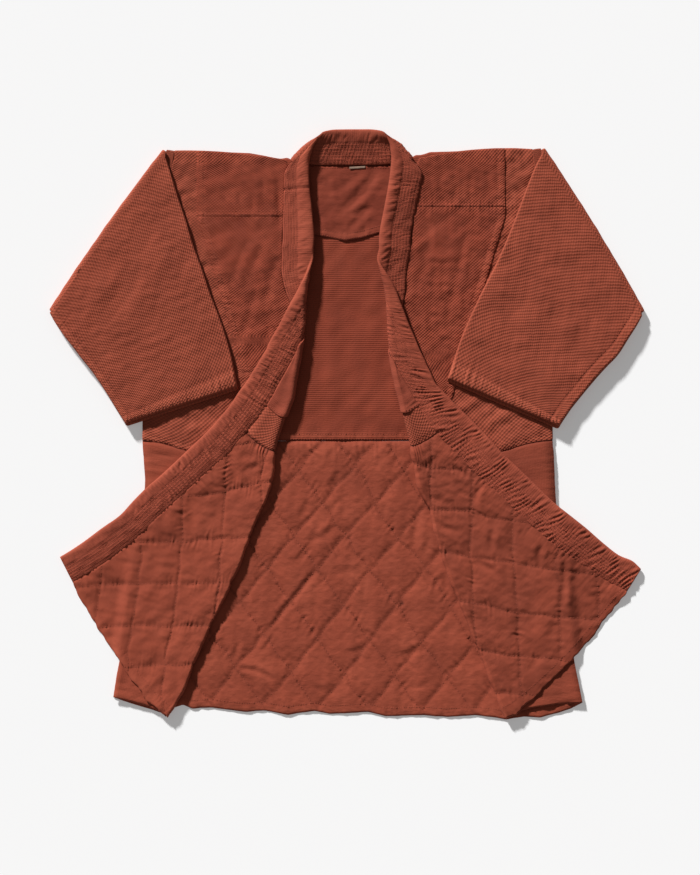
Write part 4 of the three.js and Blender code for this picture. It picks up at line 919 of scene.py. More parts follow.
def frontValues(half):
    rows, fold = half["rows"], half["fold"]
    firstFolded = len(rows) - len(fold)
    made = []
    for index, row in enumerate(rows):
        turned, height = row[6:]
        across, width, seamArc = bandParts(row)
        near = np.array(row[2:4], dtype=float)
        toSkirt = float(smooth((index - half["waist"] + 5) / 5))
        base = mix(cloth["chestBase"], cloth["skirtBase"], toSkirt)
        turning = turned > 0.6 and index <= firstFolded
        gap = cloth["turnGap"] if turning else cloth["edgeGap"]
        edge = near - across * gap
        axis, inward, radius = near, across, cloth["turn"]
        roll, upper, lift, bent = 0.0, 0.0, 0.0, 0.0
        if seamArc <= -quarter + 0.01:
            reach = -seamArc - quarter + gap if turned > 0 else width + gap
            axis = near + across * reach
            lift = 0.75 * max(0.0, height - cloth["band"] - cloth["bandGap"] - cloth["chestBase"])
        elif index < firstFolded:
            roll = radius * (seamArc / bandRadius + math.pi / 2) - gap
        else:
            k = index - firstFolded
            share = k / (len(fold) - 1)
            line = np.array(fold[k], dtype=float)
            before, after = fold[max(0, k - 1)], fold[min(len(fold) - 1, k + 1)]
            chord = unit(edge - line)
            along = unit(np.array(after) - np.array(before, dtype=float))
            normal = half["side"] * np.array([abs(along[1]), -along[0]])
            keep = 0.0 if share < 0.1 else 0.4 + 0.55 * share**2
            inward = unit(mix(across if k == 0 else normal, chord, keep))
            radius = mix(cloth["turn"], cloth["hemTurn"], float(smooth(share * 1.8)))
            axis = near if k == 0 else line + inward * (radius + cloth["wall"] / 2)
            roll = math.pi * radius - (gap if k == 0 else 0)
            upper = 0.0 if k == 0 else np.hypot(*(edge - axis))
            bent = 1.0
        share = max(0.0, (index - firstFolded) / (len(fold) - 1))
        bandInset = mix(cloth["band"] - cloth["wall"] - 0.8, 2.1, float(smooth(share * 3)))
        seamZ = height + cloth["bandGap"] + bandInset + cloth["wall"] / 2
        bulge = cloth["hemBulge"] * share**5 * half["side"]
        places = [row[0], row[1], *axis, *inward, *edge]
        made.append([*places, radius, roll, upper, base, lift, seamZ, bent, bulge])
    made = np.array(made, dtype=float)
    edgeSteps = np.hypot(*(made[1:, 6:8] - made[:-1, 6:8]).T)
    sideSteps = np.hypot(*(made[1:, 0:2] - made[:-1, 0:2]).T)
    return np.concatenate([[0], np.cumsum((edgeSteps + sideSteps) / 2)]), made


# Points in the middle of the cloth of a front, with the normals to the wearer's side.
# distances(lower, roll, total) gives the places across each row.
def frontMiddle(half, at, distances):
    v = dict(zip(rowNames, through(half["knots"], half["values"], at).T))
    v = {name: value[:, None] for name, value in v.items()}
    size = np.hypot(v["inX"], v["inY"])
    inX, inY = v["inX"] / size, v["inY"] / size
    roll, upper = np.maximum(v["roll"], 0), np.maximum(v["upper"], 0)
    roll = np.where(roll < 0.4, 0, roll)
    upper = np.where((upper < 0.5) | (v["bent"] < 0.5), 0, upper)
    lower = np.hypot(v["axisX"] - v["startX"], v["axisY"] - v["startY"])
    total = lower + roll + upper
    m = distances(lower, v["radius"], total)
    radius, thick = v["radius"], cloth["wall"]
    s = np.clip(m / lower, 0, 1)
    pullX, pullY = v["axisX"] + inX * lower * 0.25, v["axisY"] + inY * lower * 0.25
    bent = np.clip(v["bent"], 0, 1)
    curveX = (1 - s) ** 2 * v["startX"] + 2 * s * (1 - s) * pullX + s**2 * v["axisX"]
    curveY = (1 - s) ** 2 * v["startY"] + 2 * s * (1 - s) * pullY + s**2 * v["axisY"]
    x = mix(mix(v["startX"], v["axisX"], s), curveX, bent)
    y = mix(mix(v["startY"], v["axisY"], s), curveY, bent)
    fromWaist = at[:, None] - half["knots"][half["waist"]]
    y = y - cloth["slant"] * hill(fromWaist, 34) * smooth(m / 75) * smooth((lower - m) / 40)
    rise = np.maximum(v["lift"], 0) * (np.maximum(0, s - 0.4) / 0.6) ** 2
    z = v["base"] + thick / 2 + rise
    normal = np.zeros((*x.shape, 3))
    normal[..., 2] = -1
    angle = (m - lower) / radius - math.pi / 2
    onRoll = (m > lower) & (roll > 0) & (m <= lower + roll)
    axisZ = v["base"] + thick / 2 + radius
    x = np.where(onRoll, v["axisX"] - inX * radius * np.cos(angle), x)
    y = np.where(onRoll, v["axisY"] - inY * radius * np.cos(angle), y)
    z = np.where(onRoll, axisZ + radius * np.sin(angle), z)
    rolled = np.stack([-inX * np.cos(angle), -inY * np.cos(angle), np.sin(angle)], axis=-1)
    normal = np.where(onRoll[..., None], rolled, normal)
    onUpper = (m > lower + roll) & (upper > 0)
    gone = m - lower - roll
    g = np.clip(gone / np.maximum(upper, 0.1), 0, 1)
    hemX, hemY = v["edgeX"] - v["axisX"], v["edgeY"] - v["axisY"]
    chord = np.maximum(np.hypot(hemX, hemY), 0.1)
    pullX = v["axisX"] + inX * upper * 0.3 + hemY / chord * v["bulge"]
    pullY = v["axisY"] + inY * upper * 0.3 - hemX / chord * v["bulge"]
    upX = (1 - g) ** 2 * v["axisX"] + 2 * g * (1 - g) * pullX + g**2 * v["edgeX"]
    upY = (1 - g) ** 2 * v["axisY"] + 2 * g * (1 - g) * pullY + g**2 * v["edgeY"]
    sideLine = sorted(([row[1], row[0]] for row in half["rows"]), key=lambda p: p[0])
    sideX = np.interp(upY, [p[0] for p in sideLine], [p[1] for p in sideLine])
    onBody = smooth((half["side"] * (sideX - upX) + 18) / 18)
    rest = mix(0, v["base"] + thick + 0.5, onBody) + thick / 2
    held = np.maximum(rest, np.minimum(axisZ + radius, v["seamZ"]))
    long = smooth((upper - cloth["shortLeg"]) / (cloth["longLeg"] - cloth["shortLeg"]))
    settled = mix(held, rest, long)
    upZ = mix(axisZ + radius, settled, smooth(gone / np.maximum(np.minimum(80, upper * 0.75), 0.1)))
    upZ = mix(upZ, v["seamZ"], smooth(1 - (upper - gone) / np.maximum(np.minimum(30, upper * 0.5), 0.1)))
    x, y = np.where(onUpper, upX, x), np.where(onUpper, upY, y)
    z = np.where(onUpper, np.maximum(upZ, rest), z)
    normal = np.where(onUpper[..., None], np.array([0, 0, 1.0]), normal)
    part = np.where(onUpper, 2, np.where(onRoll, 1, 0))  # 0 on the body, 1 on the roll, 2 thrown out
    return {
        "at": np.stack([x, y, z], axis=-1), "normal": normal, "m": m, "part": part, "lower": lower,
        "roll": roll, "upper": upper, "total": total, "row": at[:, None] + 0 * m,
    }


# Where the roll starts and ends, kept clear of the edge
def rollSpan(lower, radius, total):
    start = np.minimum(lower, total - cloth["rollGap"])
    return start, np.minimum(lower + math.pi * radius, total - cloth["rollEnd"])


def spread(lowerCount, rollCount, upperCount):
    def distances(lower, radius, total):
        rollStart, rollEnd = rollSpan(lower, radius, total)
        a = rollStart * np.linspace(0, 1, lowerCount, endpoint=False)
        b = rollStart + (rollEnd - rollStart) * np.linspace(0, 1, rollCount, endpoint=False)
        c = rollEnd + (total - rollEnd) * np.linspace(0, 1, upperCount + 1)
        return np.concatenate([a, b, c], axis=1)
    return distances


leftHalf = {
    "name": "left", "side": -1, "rows": leftRows, "fold": leftFold, "waist": 21,
    "shoulder": (-236.5, 376, -83.5, 362.8, 4), "patchX": -206, "creases": leftChestCreases,
    "skirtCreases": leftSkirtCreases, "shoulderSeam": 285.7, "paintedShade": 0.0, "patchRows": 19,
    "facingRows": (15, 19), "shift": 0.6,
    "quilt": {
        "x": -227, "y": -161, "a": (-56.4, -1.4), "b": (-5.5, -59.8), "corners": leftCorners,
        "seed": 141, "soft": 7.5, "puff": 1.4, "dip": 0.5, "gather": 0.6,
    },
}
rightHalf = {
    "name": "right", "side": 1, "rows": rightRows, "fold": rightFold, "waist": 22,
    "shoulder": (254.5, 378, 99, 365, 6), "patchX": 217, "creases": rightChestCreases,
    # paintedShade: painted shade over the right front's skirt, which slopes away from the light
    "skirtCreases": rightSkirtCreases, "shoulderSeam": 299, "paintedShade": 0.12, "patchRows": 20,
    "facingRows": (16, 20), "shift": 0.0,
    "quilt": {
        "x": 172, "y": -121.5, "a": (57.8, -8.3), "b": (1.4, -61.9), "corners": rightCorners,
        "seed": 241, "soft": 7.5, "puff": 1.6, "dip": 0.5, "gather": 0.75,
    },
}
for half in (leftHalf, rightHalf):
    half["knots"], half["values"] = frontValues(half)


def chestHeight(half, x, y):
    z = creased(x, y, half["creases"])
    away = np.abs(y - half["shoulderSeam"])
    z += gathered(away, x, 7, 0.5, 8, 311 + half["side"]) + 0.3 * hill(away, 4)
    edge = np.abs(half["side"] * x - abs(half["patchX"]) + 0.3 * np.maximum(0, 285 - y) + 6)
    z += gathered(edge, y, 6.5, 0.5, 7, 315 + half["side"])
    z += 0.5 * ripple(x, y, 30, 321 + half["side"])
    return z + 0.3 * ripple(x + 0.5 * y, y * 0.8 - 0.4 * x, 13, 325 + half["side"])


# Moves the cloth of a front up where it shows, by the height worked out at each place
def lifted(sheet, height):
    normal, part = sheet["normal"], sheet["part"]
    hidden = (part == 0) & (sheet["roll"] + sheet["upper"] > 0)
    calm = np.where(hidden, smooth((sheet["lower"] - sheet["m"] - 2) / 30), 1)
    up = np.where((part == 0)[..., None], -normal, normal)
    return sheet["at"] + up * (height * calm)[..., None]


# The wearer's side and the outer side of a front, both clear of the floor
def frontGrids(sheet, height, thick=1.6):
    at = lifted(sheet, height)
    wearer = at + sheet["normal"] * thick / 2
    outer = at - sheet["normal"] * thick / 2
    wearer[..., 2] = np.maximum(wearer[..., 2], 0.6)
    outer[..., 2] = np.maximum(outer[..., 2], 0.1)
    return wearer, outer


def clothPlace(sheet):
    return np.stack([sheet["m"], sheet["row"]], axis=-1)


# Rows between the shoulder line and the first row of the table
def addShoulder(half, sheet):
    x1, y1, x2, y2, bow = half["shoulder"]
    count = cloth["shoulderRows"]
    first = sheet["at"][0]
    s = sheet["m"][0] / sheet["total"][0]
    top = first.copy()
    top[:, 0] = mix(x1, x2, s)
    top[:, 1] = mix(y1, y2, s) + bow * 4 * s * (1 - s)
    shares = np.linspace(0, 1, count, endpoint=False)[:, None, None]
    sheet["at"] = np.concatenate([mix(top[None], first[None], shares), sheet["at"]])
    for name in ("normal", "m", "part", "lower", "roll", "upper", "total", "row"):
        value = sheet[name]
        more = np.repeat(value[:1], count, axis=0)
        if name == "row":
            more = more - (1 - shares[..., 0]) * cloth["shoulderRun"]
        sheet[name] = np.concatenate([more, value])
    return sheet


frontBody = {
    "step": 2.3, "seamGap": 0.25, "columns": (82, 12, 26), "gather": 0.35, "stitchPitch": 3.6,
    "lowerRows": (2.4, 9.5), "upperRows": (2.4, 9.0),
}


def makeFrontBody(half):
    waist, lowerCount = half["knots"][half["waist"]], frontBody["columns"][0]
    at = np.append(np.arange(0, waist - 0.3, frontBody["step"]), waist - frontBody["seamGap"])
    sheet = addShoulder(half, frontMiddle(half, at, spread(*frontBody["columns"])))
    x, y = sheet["at"][..., 0], sheet["at"][..., 1]
    fromSeam = waist - sheet["row"]
    height = chestHeight(half, x, y) * (sheet["part"] == 0)
    height += gathered(np.abs(fromSeam - 5), sheet["m"], 5, frontBody["gather"], 7, 331)
    height -= 0.8 * hill(fromSeam, 2)
    height += 0.3 * ripple(x, y, 22, 332 + half["side"]) * (sheet["part"] > 0)
    height += 0.35 * ripple(x, y, 17, 335) * (sheet["part"] == 0)
    tone = 0.05 * ripple(x, y, 80, 333) + 0.14 * hill(fromSeam - 5, 5)
    # Painted shade in the groove of the waist seam
    tone -= 0.4 * hill(fromSeam, 1.8)
    wearer, outer = frontGrids(sheet, height)
    name, node = half["name"], "front_upper_" + half["name"]
    made = wall(outer, wearer, clothPlace(sheet), tone, 6)
    piece = meshPiece(name + "FrontBody", *made, riceCloth)
    groups = []
    lowerPart = surfaceTree(outer[:, :lowerCount - 2]), slice(2, lowerCount - 4), frontBody["lowerRows"]
    upperPart = surfaceTree(wearer[:, lowerCount:]), slice(lowerCount + 6, -1), frontBody["upperRows"]
    for tree, columns, seamRows in (lowerPart, upperPart):
        for back in seamRows:
            k = int(np.argmin(np.abs(at - (waist - back)))) + cloth["shoulderRows"]
            groups.append(sewn(tree, outer[k, columns, :2], frontBody["stitchPitch"], 340 + k))
    thread = threadPiece(name + "FrontBodySewing", groups, threadStuff)
    finishSheet(piece, node, [thread])


frontSkirt = {
    "step": 2.3, "seamGap": 0.25, "columns": (22, 14, 96), "hemStitch": 11, "stitchPitch": 3.4,
    "sewnFrom": 34, "unevenHem": 16,
}


def makeFrontSkirt(half):
    start, end = half["knots"][half["waist"]], half["knots"][-1]
    at = np.append(np.arange(start + frontSkirt["seamGap"], end - 1, frontSkirt["step"]), end)
    sheet = frontMiddle(half, at, spread(*frontSkirt["columns"]))
    onward = sheet["at"][-1] - sheet["at"][-7]
    onward = onward / np.linalg.norm(onward, axis=-1, keepdims=True)
    m, reach = sheet["m"], frontSkirt["unevenHem"]
    uneven = 1.5 * ripple(m, 0 * m, 40, 371) + 0.6 * ripple(m, 0 * m, 12, 372)
    toHem = smooth((reach - (end - sheet["row"])) / reach)
    sheet["at"] = sheet["at"] + onward * (uneven * toHem * (sheet["part"] > 0))[..., None]
    x, y = sheet["at"][..., 0], sheet["at"][..., 1]
    raised, away = quilted(half["quilt"], x, y)
    shown = (sheet["part"] > 0) * 1.0
    fromSeam = sheet["row"] - start
    fromHem = end - sheet["row"]
    fromBand = sheet["total"] - sheet["m"]
    calm = smooth(fromHem / 12) * smooth(fromBand / 10) * smooth(fromSeam / 9)
    folds = creased(x, y, half["skirtCreases"]) * smooth(fromBand / 5)
    height = shown * (0.2 + raised * (0.25 + 0.75 * calm) + folds)
    rough = 0.38 * ripple(x, y, 34, 351 + half["side"]) + 0.22 * ripple(x, y * 1.5, 16, 353 + half["side"])
    height += rough + 0.09 * ripple(x, y * 1.8, 8, 354)
    height += (1 - shown) * (0.7 * raised + 1.2 * gathered(np.abs(fromSeam - 3), m, 9, 1.0, 16, 359))
    height += shown * gathered(np.abs(fromBand - 2), sheet["row"], 6.5, 0.8, 9, 355)
    height += shown * gathered(np.abs(fromSeam - 2), m, 6.5, 0.7, 9, 356)
    height += gathered(np.abs(fromHem - 9), m, 6.5, 0.3, 6, 357) + 0.4 * hill(fromHem - 5, 4)
    height -= 0.9 * hill(fromSeam, 2)
    # Painted light and shade following the quilting, and painted shade along the stitched lines, in the
    # waist seam groove and beside the band. The paler hem is wear.
    tone = 0.05 * ripple(x, y, 70, 358) + 0.04 * (raised - 0.8) - 0.11 * hill(away, 1.3) * shown
    tone += 0.12 * hill(fromHem - 3, 4) - 0.3 * hill(fromSeam, 1.8)
    tone -= 0.1 * hill(fromBand, 2)
    # Painted highlight on the turned roll; painted shade over the whole right skirt
    tone += 0.1 * (sheet["part"] == 1) - half["paintedShade"]
    wearer, outer = frontGrids(sheet, height)
    name, node = half["name"], "front_skirt_" + half["name"]
    made = wall(wearer, outer, clothPlace(sheet), tone, 1)
    piece = meshPiece(name + "FrontSkirt", *made, quiltCloth)
    tree = surfaceTree(wearer[:, frontSkirt["sewnFrom"] - 4:])
    sewnPart = wearer[:, frontSkirt["sewnFrom"]:, :2]
    box = (*sewnPart.min(axis=(0, 1)), *sewnPart.max(axis=(0, 1)))
    groups = quiltStitches(half["quilt"], tree, box, 360)
    k = int(np.argmin(np.abs(at - (end - frontSkirt["hemStitch"]))))
    groups.append(sewn(tree, sewnPart[k], frontSkirt["stitchPitch"], 381))
    thread = threadPiece(name + "FrontSkirtSewing", groups, threadStuff)
    finishSheet(piece, node, [thread])


# Reinforcements on the outer side of a front, and the facing inside it by the lapel

patch = {
    "splitRow": 5, "overlap": 4, "shoulderStep": 2.3, "chestStep": 2.0, "columns": 84, "drift": 0.3,
    "gap": 1.0, "thick": 1.1, "insets": (2.5, 10.5), "stitchPitch": 3.6,
}
facing = {
    "lap": 14, "step": 2.2, "columns": 40, "gap": 1.05, "thick": 0.8, "stitchFrom": 14, "stitchPitch": 3.4,
}


# The part of a front between the patch's slanting side and the lapel
def patchSheet(half, at, shoulder):
    probe = frontMiddle(half, at, lambda lower, radius, total: lower * np.linspace(0, 1, 160))
    roll = probe["roll"][:, 0]
    lower, total = probe["lower"][:, 0], probe["total"][:, 0]
    starts = []
    for k in range(len(at)):
        across = half["side"] * probe["at"][k, :, 0]
        drift = max(0.0, 285 - probe["at"][k, 0, 1]) * patch["drift"]
        starts.append(np.interp(-(abs(half["patchX"]) - drift), -across, probe["m"][k]))
    starts = np.array(starts)[:, None]
    ends = np.where(roll > 0, np.minimum(lower, total - cloth["rollGap"]) - 1, total - 1.2)[:, None]
    between = np.linspace(0, 1, patch["columns"])
    sheet = frontMiddle(half, at, lambda lower, radius, total: starts + (ends - starts) * between)
    return addShoulder(half, sheet) if shoulder else sheet


def makePatch(half, kind):
    name = half["name"]
    shoulder = kind == "Shoulder"
    split = half["knots"][patch["splitRow"]]
    if shoulder:
        at = np.append(np.arange(0, split, patch["shoulderStep"])[:-1], split - 0.1)
    else:
        at = np.arange(split - patch["overlap"], half["knots"][half["patchRows"]], patch["chestStep"])
    sheet = patchSheet(half, at, shoulder)
    x, y = sheet["at"][..., 0], sheet["at"][..., 1]
    fromSide = sheet["m"] - sheet["m"][:, :1]
    fromTop = sheet["row"] - split
    height = chestHeight(half, x, y) + 0.4 * hill(fromSide - 5, 3.5) - 0.3 * hill(fromSide - 10, 1.2)
    height += gathered(np.abs(fromSide - 6), sheet["row"], 5.4, 0.4, 6, 402)
    height += gathered(np.abs(fromTop), x, 5.2, 0.55, 6, 405)
    if not shoulder:
        height -= 0.35 * smooth((1.5 - fromTop) / 3)
    tone = 0.05 * ripple(x, y, 60, 401) + 0.13 * hill(fromSide - 6, 5)
    tone += 0.05 * hill(np.abs(fromTop) - 4, 4)
    near = lifted(sheet, height) - sheet["normal"] * patch["gap"]
    far = near - sheet["normal"] * patch["thick"]
    made = wall(far, near, clothPlace(sheet), tone, 6)
    piece = meshPiece(name + kind + "Patch", *made, chestCloth)
    tree = surfaceTree(far)
    pitch = sheet["m"][0, 1] - sheet["m"][0, 0]
    lines = [far[:, int(round(inset / pitch)), :2] for inset in patch["insets"]]
    lines += [far[k, 2:, :2] for k in ((-2, -4) if shoulder else (1, -3))]
    groups = [sewn(tree, line, patch["stitchPitch"], 410 + k) for k, line in enumerate(lines)]
    thread = threadPiece(name + kind + "PatchSewing", groups, threadStuff)
    node = kind.lower() + "_patch_" + name
    finishSheet(piece, node, [thread])


def makeFacing(half):
    first, last = half["facingRows"]
    start, end = half["knots"][first - 1] - facing["lap"], half["knots"][last]
    at = np.append(np.arange(start, end, facing["step"]), end)

    def distances(lower, radius, total):
        rollStart, rollEnd = rollSpan(lower, radius, total)
        begin = rollStart + (rollEnd - rollStart) * 0.2
        return begin + (total - 0.5 - begin) * np.linspace(0, 1, facing["columns"])

    sheet = frontMiddle(half, at, distances)
    x, y = sheet["at"][..., 0], sheet["at"][..., 1]
    fromEnd = end - sheet["row"]
    height = gathered(np.abs(sheet["total"] - sheet["m"] - 2), sheet["row"], 5.2, 0.45, 14, 431)
    height += 0.25 * ripple(x, y, 18, 432) + 0.3 * hill(fromEnd - 3, 3)
    height -= 0.75 * smooth((18 - (sheet["row"] - start)) / 18)
    # Painted highlight on the part that lies over the roll
    tone = 0.06 * ripple(x, y, 40, 433) + 0.08 * (sheet["part"] == 1)
    near = sheet["at"] + sheet["normal"] * facing["gap"]
    far = near + sheet["normal"] * (facing["thick"] + height[..., None])
    name, node = half["name"], "inner_facing_" + half["name"]
    made = wall(far, near, clothPlace(sheet), tone, 4)
    piece = meshPiece(name + "InnerFacing", *made, facingCloth)
    line = far[-3, facing["stitchFrom"]:, :2]
    groups = [sewn(surfaceTree(far), line, facing["stitchPitch"], 441)]
    thread = threadPiece(name + "InnerFacingSewing", groups, threadStuff)
    finishSheet(piece, node, [thread])


# Collar band: one length from hem to hem, stitched in rows, turned over at both fronts
band = {
    "thick": 6.0, "full": 42.0, "plain": 17.0, "rows": 6, "groove": 0.36, "ringStep": 1.7,
    "lapelTop": 15.6, "cornerRound": 0.6, "neckLift": 8.0, "cornerLift": 2.4, "taper": 2.0, "lap": 1.8,
    "pitch": 8.0, "puff": 2.1, "inset": 3.5, "edgeStitch": 39.6, "stitchPitch": 3.5, "cutWide": 0.048,
}
rowGap = (band["full"] - band["inset"] - band["plain"]) / (band["rows"] - 1)
rowPlaces = [band["plain"] + k * rowGap for k in range(band["rows"])]


# How far the band thins at its edges and under its rows of stitching
def bandDip(v):
    across = v * band["full"]
    dip = 2.2 * np.exp(-across / 1.8) + 1.6 * np.exp(-(band["full"] - across) / 1.5)
    for place in rowPlaces:
        dip += band["groove"] * hill(across - place, 1.15)
    return dip


# Points of a ring behind the neck, v from the free edge to the seam and q up through the band
def neckPoint(row, tilt, side, v, q, corner=0.0):
    free, seam = np.array(row[:2]), np.array(row[2:4])
    across = unit(seam - free)
    width = np.hypot(*(seam - free))
    out = unit(np.array([side * abs(across[1]), abs(across[0])]))
    reach = cloth["bandGap"] + q
    away = reach * math.cos(tilt) * smooth(v / band["cornerRound"])
    along = width * v + band["lap"] * smooth((v - 0.92) / 0.08)
    flat = free + across * along[:, None] + out * away[:, None]
    lift = mix(band["neckLift"], band["cornerLift"], tilt / math.pi + 0.5)
    z = band["thick"] + cloth["bandGap"] + reach * math.sin(tilt) + lift * (1 - v) ** 1.3
    z = z + 3.0 * corner * (0.5 - tilt / math.pi) * smooth((0.46 - v) / 0.3)
    return np.column_stack([flat, np.maximum(z, 0.15)])


# Points of a ring down a front, turned over as far as its row says
def halfPoint(row, v, q, shift):
    across, width, seamArc = bandParts(row)
    turn, height = row[6:]
    flatter = 1 - turn
    taper = band["taper"] * smooth((v * band["full"] - 31) / 11)
    q = np.where(q > band["thick"] / 2, q - 0.35 * taper * flatter**2, q + 0.45 * taper * turn**2)
    seen = v + shift * flatter * v * (1 - v)
    arc = seamArc + width * (1 - seen)
    reach = cloth["bandGap"] + band["thick"] - q
    turned = np.abs(arc) < quarter
    angle = arc / bandRadius
    inward = np.where(turned, -reach * np.cos(angle), np.abs(arc) - quarter)
    rise = np.where(turned, reach * np.sin(angle), np.sign(arc) * reach)
    lap = band["lap"] * smooth((v - 0.92) / 0.08) * (flatter**2 - turn**6)
    flat = np.array(row[2:4]) + across * (inward + lap)[:, None]
    standing = max(0.0, band["lapelTop"] + cloth["bandGap"] - height) * flatter**2
    domed = 1.6 * flatter * np.sin(math.pi * np.clip(v / 0.42, 0, 1))
    tucked = 1.6 * flatter**2 * smooth((v - 0.9) / 0.08) * (q < band["thick"] * 0.7)
    z = height + rise + standing * (1 - seen) + domed - tucked
    return np.column_stack([flat, np.maximum(z, 0.15)])


# Every ring of one arm of the band, from behind the neck to the hem
def bandRings(neck, half):
    rows = np.array([neckMiddle] + neck, dtype=float)
    middle = (rows[:, :2] + rows[:, 2:]) / 2
    knots = np.concatenate([[0], np.cumsum(np.hypot(*(middle[1:] - middle[:-1]).T))])
    rings = []
    at = np.arange(0.5, knots[-1], band["ringStep"] * 0.8)
    for place, row in zip(at, through(knots, rows, at)):
        near = float(smooth((place - knots[-1] + 56) / 56))
        rings.append(lambda v, q, row=row, near=near: neckPoint(row, -math.pi / 2, half["side"], v, q, near))
    corner = rows[-1]
    for degrees in np.arange(-90, 91, 10):
        tilt = math.radians(degrees)
        rings.append(lambda v, q, tilt=tilt: neckPoint(corner, tilt, half["side"], v, q, 1.0))
    last = rings[-1]
    table = np.array(half["rows"], dtype=float)
    first = table[0]
    for share in (0.2, 0.4, 0.6, 0.8):
        rings.append(lambda v, q, share=share: mix(last(v, q), halfPoint(first, v, q, half["shift"]), share))
    at = np.append(np.arange(0, half["knots"][-1] - 1, band["ringStep"]), half["knots"][-1])
    for row in through(half["knots"], table, at):
        row[6] = min(1.0, max(0.0, row[6]))
        rings.append(lambda v, q, row=row: halfPoint(row, v, q, half["shift"]))
    return rings


# How far a place lies in a valley between two puffs of the gathered edge, 0 to 1
def bandPuffs(s, across):
    slanted = s + 0.45 * across + 3.2 * ripple(s, across * 0.3, 30, 502)
    return np.abs(np.sin(math.pi * slanted / band["pitch"]))


# How worn and how gathered the band is along its length, from hem to hem
bandPlaces = [-720, -640, -440, -280, -200, -60, -45, 45, 60, 230, 300, 720]
bandWear = [0.4, 0.8, 1.0, 0.9, 0.3, 0.3, 0.8, 0.8, 0.9, 1.0, 1.1, 1.1]
bandPuffing = [0.2, 0.8, 1.0, 0.9, 0.3, 0.25, 0.5, 0.5, 0.6, 0.9, 0.2, 0.2]


# Folds pulled across the whole width of both ends of the band
def bandPulls(s, across):
    pulled = np.sin(2 * math.pi * (s + 0.3 * across + 3.5 * ripple(s, across * 0.4, 38, 507)) / 5.8)
    pulling = 0.65 * smooth((s - 250) / 90) + 0.42 * smooth((-270 - s) / 80) * smooth((s + 660) / 60)
    size = np.clip(0.7 + 0.6 * ripple(s, across, 30, 508), 0.1, 1.4)
    return pulling * pulled * smooth((across - 1) / 4) * size


def bandHeight(s, v, seams):
    across = v * band["full"]
    plain = smooth((across - 2) / 7) * smooth((band["plain"] + 1.5 - across) / 4)
    worn = np.interp(s, bandPlaces, bandWear)
    size = np.clip(0.55 + 0.6 * ripple(s, 0 * s, 13, 501, 6) + 0.35 * ripple(s, 0 * s, 46, 506), 0.1, 1.4)
    size = size * np.interp(s, bandPlaces, bandPuffing)
    height = band["puff"] * plain * size * (np.sqrt(bandPuffs(s, across)) - 0.62)
    sewn = smooth((across - band["plain"] + 2) / 3)
    channel = np.round((across - band["plain"]) / rowGap - 0.5)
    ribs = np.sin(2 * math.pi * s / 4.6 + 1.9 * channel + 0.9 * ripple(s, across, 20, 503))
    height += 0.36 * sewn * ribs * worn + 0.25 * ripple(s, across, 16, 504) + bandPulls(s, across)
    for place in seams:
        height -= 0.9 * hill(s - place + 0.06 * across, 1.3)
        height += 0.35 * hill(s - place - 5, 4)
    return height


# Cross seams of the band, near these places
collarSeams = [(-68.0, 324.5), (75.5, 332.0), (75.5, 326.5), (-135.0, 37.5)]


